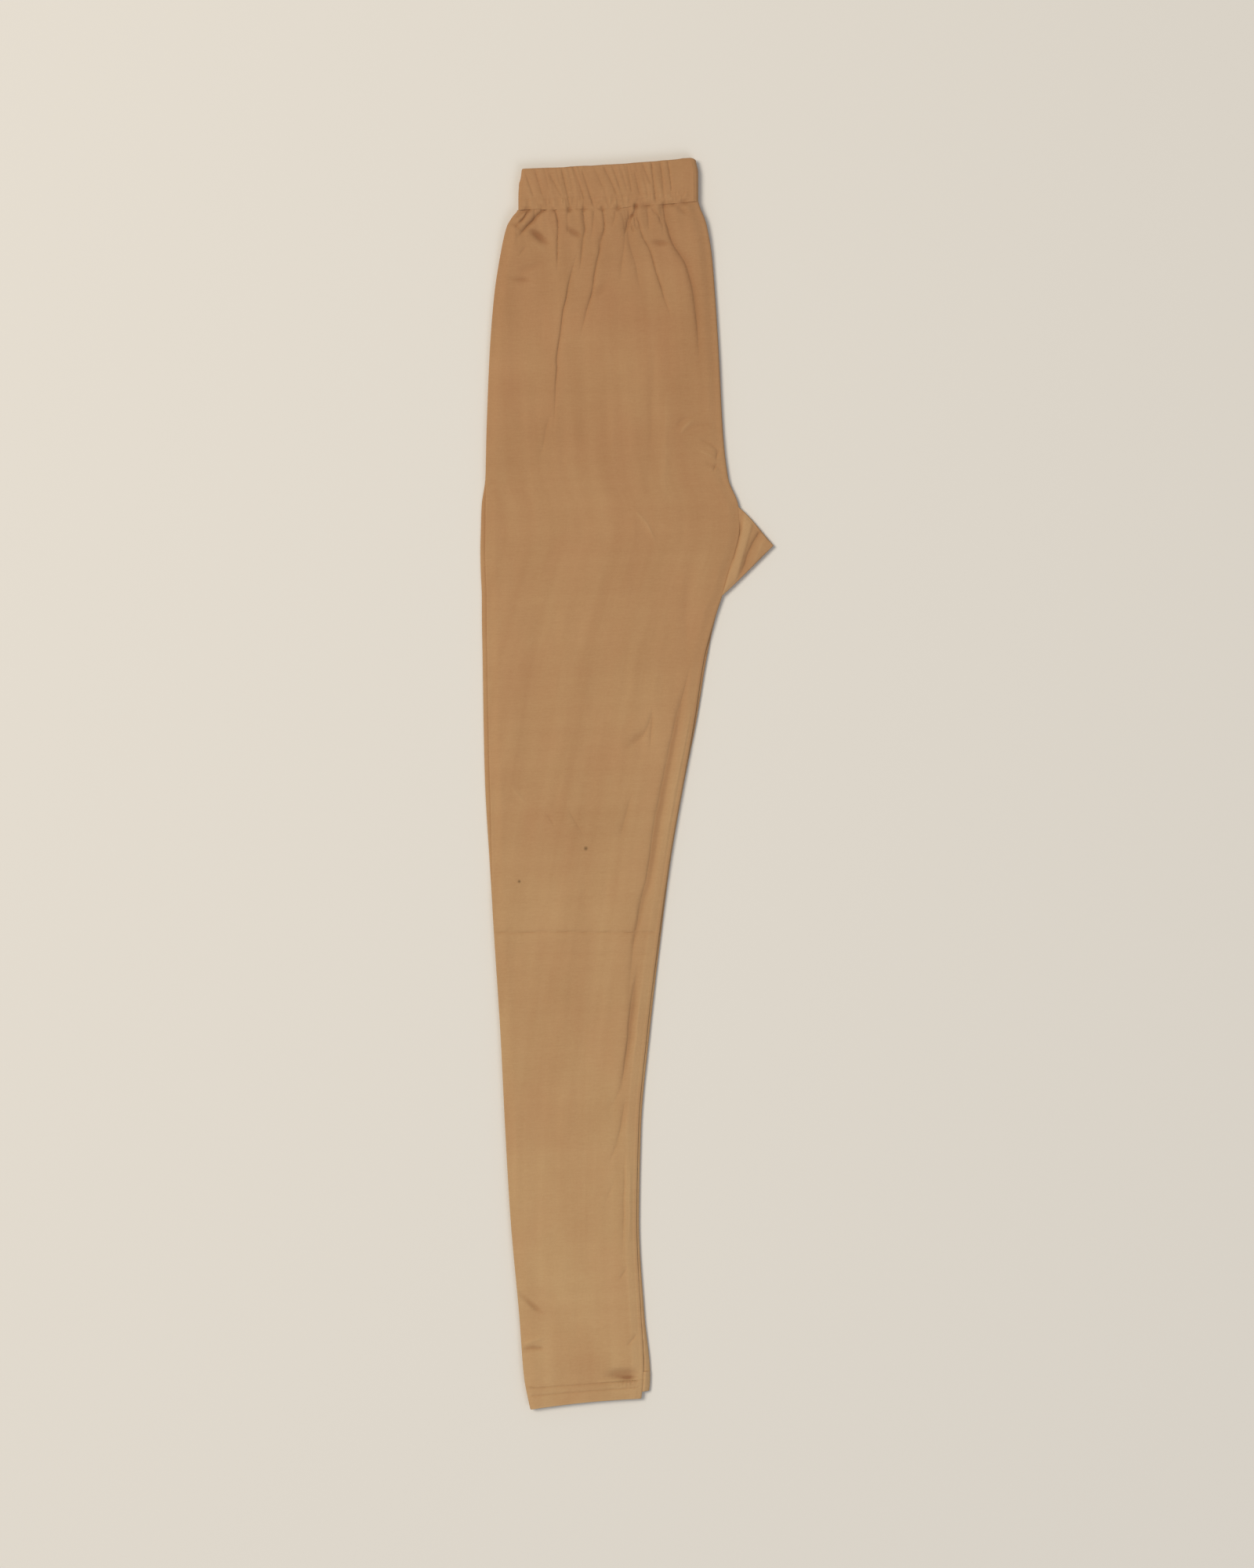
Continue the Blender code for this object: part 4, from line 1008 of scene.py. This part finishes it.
def make_stitches(name, rows, material):
    """Every stitch as a short spindle of thread: a point is spine + girth (side cos a + up sin a)."""
    starts, ends = np.vstack([row[0] for row in rows]), np.vstack([row[1] for row in rows])
    run = ends - starts
    length = np.linalg.norm(run, axis=1)[:, None]
    run = run / length
    side = np.cross(run, [0.0, 0.0, 1.0])
    side /= np.linalg.norm(side, axis=1)[:, None]
    up = np.cross(side, run)
    around = np.linspace(0.0, 2.0 * math.pi, 6, endpoint=False)[:, None]
    along, girth = np.array(SPINDLE).T[..., None, None]
    spine = starts[:, None, None] + (run * length)[:, None, None] * along
    turned = side[:, None, None] * np.cos(around) + up[:, None, None] * np.sin(around)
    points = (spine + THREAD_WIDTH / 2.0 * girth * turned).reshape(-1, 3)
    ring = np.arange(len(around))
    per_stitch = len(along) * len(around)
    last = per_stitch - len(around) + ring
    caps = [np.stack([0 * ring[1:-1], ring[1:-1], ring[2:]], axis=-1)]
    caps.append(np.stack([last[0] + 0 * ring[1:-1], last[2:], last[1:-1]], axis=-1))
    offsets = (np.arange(len(starts)) * per_stitch)[:, None, None]
    quads = (grid_quads(0, len(along), len(around)) + offsets).reshape(-1, 4)
    triangles = (np.vstack(caps) + offsets).reshape(-1, 3)
    return mesh_object(name, points, quads, triangles, points[:, :2], material, 0.0 * points[:, 0])


def band_stitch_rows():
    """The row of stitches that holds the elastic, on the casing's top and on its underside."""
    ends = band_ends(BAND_STITCH_SHARE)
    x = np.linspace(ends.left + 3.0, ends.right - 3.5, 300)
    sag = BAND_TOP_SAG * (1.0 - BAND_STITCH_SHARE) * np.sin(math.pi * across(x, ends))
    y = OVERALL_LENGTH / 2.0 - down_at(x, ends) - sag
    relief = band_relief(x, BAND_STITCH_SHARE * casing_height(x, ends), ends)
    top = np.column_stack([x, y, 3.0 * BAND_PITCH + BAND_WALL + relief])
    return [stitch_row(top, THREAD_SINK), stitch_row(np.column_stack([x, y, 0.3 + 0.0 * x]), 0.0)]


def hem_stitch_rows(leg):
    """The two rows of stitches that hold a hem, on the upper hem's top or under the lower one."""
    rows = []
    for place in HEM_STITCH_PLACES:
        ends = hem_ends(leg, place)
        x = np.linspace(ends.left + 2.0, ends.right - 2.2, 220)
        z, sink = 0.28 + 0.0 * x, 0.0
        if leg is UPPER:
            z = 3.0 * HEM_PITCH + HEM_WALL + hem_relief(x, place, ends.left, ends.right)[0]
            sink = THREAD_SINK
        rows.append(stitch_row(np.column_stack([x, OVERALL_LENGTH / 2.0 - down_at(x, ends), z]), sink))
    return rows


# Materials


def colour(hex_value):
    """An sRGB hex colour as linear red, green, blue and alpha."""
    parts = np.array([int(hex_value[k : k + 2], 16) for k in (1, 3, 5)]) / 255.0
    linear = np.where(parts <= 0.04045, parts / 12.92, ((parts + 0.055) / 1.055) ** 2.4)
    return (*linear.tolist(), 1.0)


def per_mm(millimetres):
    """How many repeats of this size go into a metre: 1000 / size."""
    return 1000.0 / millimetres


def node(tree, kind, inputs, output=0, **settings):
    """Adds a node with its settings, links or sets its inputs, and gives back one of its outputs."""
    made = tree.nodes.new(kind)
    for key, value in settings.items():
        setattr(made, key, value)
    for key, value in inputs.items():
        if isinstance(value, bpy.types.NodeSocket):
            tree.links.new(value, made.inputs[key])
        else:
            made.inputs[key].default_value = value
    return made.outputs[output]


def new_material(name, values):
    """A material and its shader, with these values on the shader's sockets."""
    material = bpy.data.materials.new(name)
    material.use_nodes = True
    shader = material.node_tree.nodes["Principled BSDF"]
    for socket, value in values.items():
        shader.inputs[socket].default_value = value
    return material, shader


def jersey(name, turned=0.0, specks=()):
    """Fine-knit cotton and elastane jersey: matt and dry, with the faint fuzz of cotton as its sheen.

    The tone is 0.5 plus each pattern's weight times its noise less 0.5, and mixes the dark tan with the
    light one. The relief is a ridge for each wale, a sine of course + wale that slants the loops, and
    the uneven yarn. Painted light makes the cloth paler and yellower towards the hems, painted shade
    browns it where it is folded in, and a painted highlight pales it where it is stretched over a ridge.
    """
    values = {"Roughness": 0.88, "Specular IOR Level": 0.25, "Sheen Weight": 0.12}
    sheen = {"Sheen Roughness": 0.55, "Sheen Tint": colour("#f0d8b8")}
    material, shader = new_material(name, {**values, **sheen})
    tree = material.node_tree
    cloth = node(tree, "ShaderNodeUVMap", {}, uv_map="cloth")
    turn = node(tree, "ShaderNodeMapping", {"Vector": cloth, "Rotation": (0.0, 0.0, turned)})
    tone, fields = 0.5, {}
    for pattern in YARN_PATTERNS:
        scale = (per_mm(pattern.width), per_mm(pattern.height), 1.0)
        place = node(tree, "ShaderNodeMapping", {"Vector": turn, "Scale": scale})
        inputs = {"Vector": place, "Scale": 1.0, "Detail": pattern.detail}
        fields[pattern.name] = node(tree, "ShaderNodeTexNoise", inputs, noise_dimensions="2D")
        if pattern.weight:
            inputs = {0: fields[pattern.name], 1: pattern.weight, 2: -0.5 * pattern.weight}
            centred = node(tree, "ShaderNodeMath", inputs, operation="MULTIPLY_ADD")
            tone = node(tree, "ShaderNodeMath", {0: centred, 1: tone}, operation="ADD")
    # The waist's tans, and the same tans lit paler and yellower by painted light towards the hems
    base, painted_light_base = (
        node(tree, "ShaderNodeMix", {0: tone, 6: colour(dark), 7: colour(light)}, 2, data_type="RGBA")
        for dark, light in (WAIST_TANS, PAINTED_LIGHT_TANS)
    )
    place = node(tree, "ShaderNodeTexCoord", {}, "Object")
    along = node(tree, "ShaderNodeSeparateXYZ", {0: place}, "Y")
    # How far each point is folded in, which sets the painted shade and the painted highlight below
    folded = node(tree, "ShaderNodeAttribute", {}, "Fac", attribute_name="painted_shade_highlight")
    # Colours laid over the waist's, from where a value starts to where it ends, and how much there:
    # painted light that makes the cloth paler and yellower towards the hems, redder patches, painted
    # shade in the folded-in places and a painted highlight on the stretched ones
    for value, start, end, most, over in (
        (along, PAINTED_LIGHT_FROM * MM, PAINTED_LIGHT_TO * MM, 1.0, painted_light_base),
        (fields["warmth"], 0.35, 0.75, 0.16, colour("#b67f5c")),
        (folded, 0.0, 7.0, 0.64, colour("#7a4525")),
        (folded, 0.0, -2.0, 0.4, colour("#d3b587")),
    ):
        ends = {"Value": value, "From Min": start, "From Max": end, "To Max": most}
        amount = node(tree, "ShaderNodeMapRange", ends)
        base = node(tree, "ShaderNodeMix", {0: amount, 6: base, 7: over}, 2, data_type="RGBA")
    # Small dark specks in the cloth's colour, as balls about places on the top ply, which fade at the rim
    for x, down, reach in specks:
        centre = (x * MM, (OVERALL_LENGTH / 2.0 - down) * MM, SPECK_HEIGHT * MM)
        away = node(tree, "ShaderNodeVectorMath", {0: place, 1: centre}, "Value", operation="DISTANCE")
        inputs = {"Value": away, "From Max": reach * MM, "To Min": 0.75, "To Max": 0.0}
        spot = node(tree, "ShaderNodeMapRange", inputs, interpolation_type="SMOOTHSTEP")
        base = node(tree, "ShaderNodeMix", {0: spot, 6: base, 7: colour("#5f4a2e")}, 2, data_type="RGBA")
    tree.links.new(base, shader.inputs["Base Color"])

    # The knit's ridges and slanting loops, seen close up as a fine rib
    width, length = (node(tree, "ShaderNodeSeparateXYZ", {0: turn}, axis) for axis in "XY")
    wale = node(tree, "ShaderNodeMath", {0: width, 1: per_mm(WALE_PITCH)}, operation="MULTIPLY")
    wale = node(tree, "ShaderNodeMath", {0: wale, 1: 0.5}, operation="PINGPONG")
    height = node(tree, "ShaderNodeMath", {0: length, 1: per_mm(COURSE_PITCH)}, operation="MULTIPLY")
    steps = ("ADD", wale), ("MULTIPLY", 2.0 * math.pi), ("SINE", 0.0), ("MULTIPLY", 0.35)
    for operation, other in steps:
        height = node(tree, "ShaderNodeMath", {0: height, 1: other}, operation=operation)
    for part, weight in ((wale, 1.2), (fields["streak"], 1.6)):
        weighted = node(tree, "ShaderNodeMath", {0: part, 1: weight}, operation="MULTIPLY")
        height = node(tree, "ShaderNodeMath", {0: height, 1: weighted}, operation="ADD")
    bump = node(tree, "ShaderNodeBump", {"Height": height, "Strength": 0.6, "Distance": 0.12 * MM})
    tree.links.new(bump, shader.inputs["Normal"])
    return material


def thread(name, hex_value):
    """Spun polyester sewing thread, its twist a sine wave on the slant, in shade and in relief.

    The twist of real thread is about 0.6 mm, which is too fine to show, so it is drawn 3.8 mm apart. A
    little smoother than the jersey, the stitches catch the light.
    """
    values = {"Roughness": 0.6, "Specular IOR Level": 0.35, "Sheen Weight": 0.1}
    material, shader = new_material(name, values)
    tree = material.node_tree
    place = node(tree, "ShaderNodeTexCoord", {}, "Object")
    turn = node(tree, "ShaderNodeMapping", {"Vector": place, "Rotation": (0.0, 0.0, math.radians(35.0))})
    # The wave node's bands are 2 pi / 20 of a unit apart
    inputs = {"Vector": turn, "Scale": per_mm(0.6) / 20.0}
    twist = node(tree, "ShaderNodeTexWave", inputs, 1, wave_type="BANDS")
    inputs = {0: twist, 6: colour(hex_value), 7: colour("#b98f60")}
    tree.links.new(node(tree, "ShaderNodeMix", inputs, 2, data_type="RGBA"), shader.inputs["Base Color"])
    bump = node(tree, "ShaderNodeBump", {"Height": twist, "Strength": 0.4, "Distance": 0.05 * MM})
    tree.links.new(bump, shader.inputs["Normal"])
    return material


# The stage


def make_floor():
    """A plain square floor, whose top is just under the garment's flat underside."""
    mesh = bpy.data.meshes.new("floor")
    signs = (-1, -1), (1, -1), (1, 1), (-1, 1)
    corners = [(x * FLOOR_HALF, y * FLOOR_HALF, FLOOR_TOP) for x, y in signs]
    mesh.from_pydata(corners, [], [(0, 1, 2, 3)])
    # Matt painted board: a plain pale ground that takes a soft shadow
    material, _ = new_material("pale_floor", {"Base Color": colour("#e3e1dc"), "Roughness": 0.9})
    mesh.materials.append(material)
    add_object("floor", mesh)


def make_light(name, place, aim, size, power, hex_value):
    """A square soft box at a place, turned so that its face looks along the line to its aim."""
    lamp = bpy.data.lights.new(name, "AREA")
    lamp.shape = "RECTANGLE"
    lamp.size = lamp.size_y = size
    lamp.energy = power
    lamp.color = colour(hex_value)[:3]
    made = add_object(name, lamp)
    made.location = place
    away = np.array(place) - np.array(aim)
    tilt = math.atan2(math.hypot(away[0], away[1]), away[2])
    made.rotation_euler = (tilt, 0.0, math.atan2(away[0], -away[1]))


def make_camera():
    """Straight above the garment, as far off as shows 0.668 mm of its top ply in each pixel of 2000.

    The distance is the frame's height times the lens over the sensor, above the top ply.
    """
    lens, sensor, frame_height = 85.0, 36.0, 2000 * 0.668 * MM
    camera = bpy.data.cameras.new("camera")
    camera.lens = lens
    camera.sensor_width = sensor
    camera.clip_end = 50.0
    made = add_object("camera", camera)
    made.location = (0.0, 0.0, frame_height * lens / sensor + CLOTH_TOP * MM)
    bpy.context.scene.camera = made


def make_stage():
    """The floor, a warm key light, a cool fill light, a dim pale world, and the camera."""
    scene = bpy.context.scene
    scene.view_settings.view_transform = "Standard"
    scene.world = scene.world or bpy.data.worlds.new("studio")
    scene.world.use_nodes = True
    background = scene.world.node_tree.nodes["Background"]
    background.inputs["Color"].default_value = colour("#f4f2ee")
    background.inputs["Strength"].default_value = 0.32
    make_floor()
    make_light("key", (-2.9, 1.4, 5.4), (0.0, 0.0, 0.0), 2.6, 265.0, "#fff4e4")
    make_light("fill", (2.6, -3.6, 5.0), (0.0, -0.3, 0.0), 3.4, 84.0, "#f0f5ff")
    make_camera()


def main():
    """Makes the cloth and the sewing on the loaded part, hangs each piece under the root in place of the
    part's own, which is hidden, and sets the stage.
    """
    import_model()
    leg_jersey = jersey("tan_cotton_jersey", specks=[(-35.1, 588.5, 2.7), (-91.9, 616.6, 2.1)])
    band_jersey = jersey("casing_jersey")
    gusset_jersey = jersey("gusset_jersey_on_the_slant", turned=math.radians(40.0))
    hem_jersey = jersey("hem_jersey")
    sewing = thread("sewing_thread", "#ab8456")

    upper = make_leg(UPPER, "upper_leg_cloth", leg_jersey)
    lower = make_leg(LOWER, "lower_leg_cloth", leg_jersey)
    upper_hem = make_hem(UPPER, "upper_hem_cloth", hem_jersey)
    lower_hem = make_hem(LOWER, "lower_hem_cloth", hem_jersey)
    casing = make_waistband("waistband_casing", band_jersey)
    gusset = make_gusset("gusset_cloth", gusset_jersey)
    band_stitches = make_stitches("band_stitches", band_stitch_rows(), sewing)
    upper_stitches = make_stitches("upper_hem_stitches", hem_stitch_rows(UPPER), sewing)
    lower_stitches = make_stitches("lower_hem_stitches", hem_stitch_rows(LOWER), sewing)

    for piece, cad_node, slot in (
        (upper, "upper_leg", "leg_jersey"),
        (lower, "lower_leg", "leg_jersey"),
        (upper_hem, "upper_hem", "hem_jersey"),
        (lower_hem, "lower_hem", "hem_jersey"),
        (casing, "waistband", "band_jersey"),
        (gusset, "crotch_gusset", "gusset_jersey"),
    ):
        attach(piece, "root")
        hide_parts(cad_node)
    for piece in (band_stitches, upper_stitches, lower_stitches):
        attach(piece, "root")

    make_stage()


main()
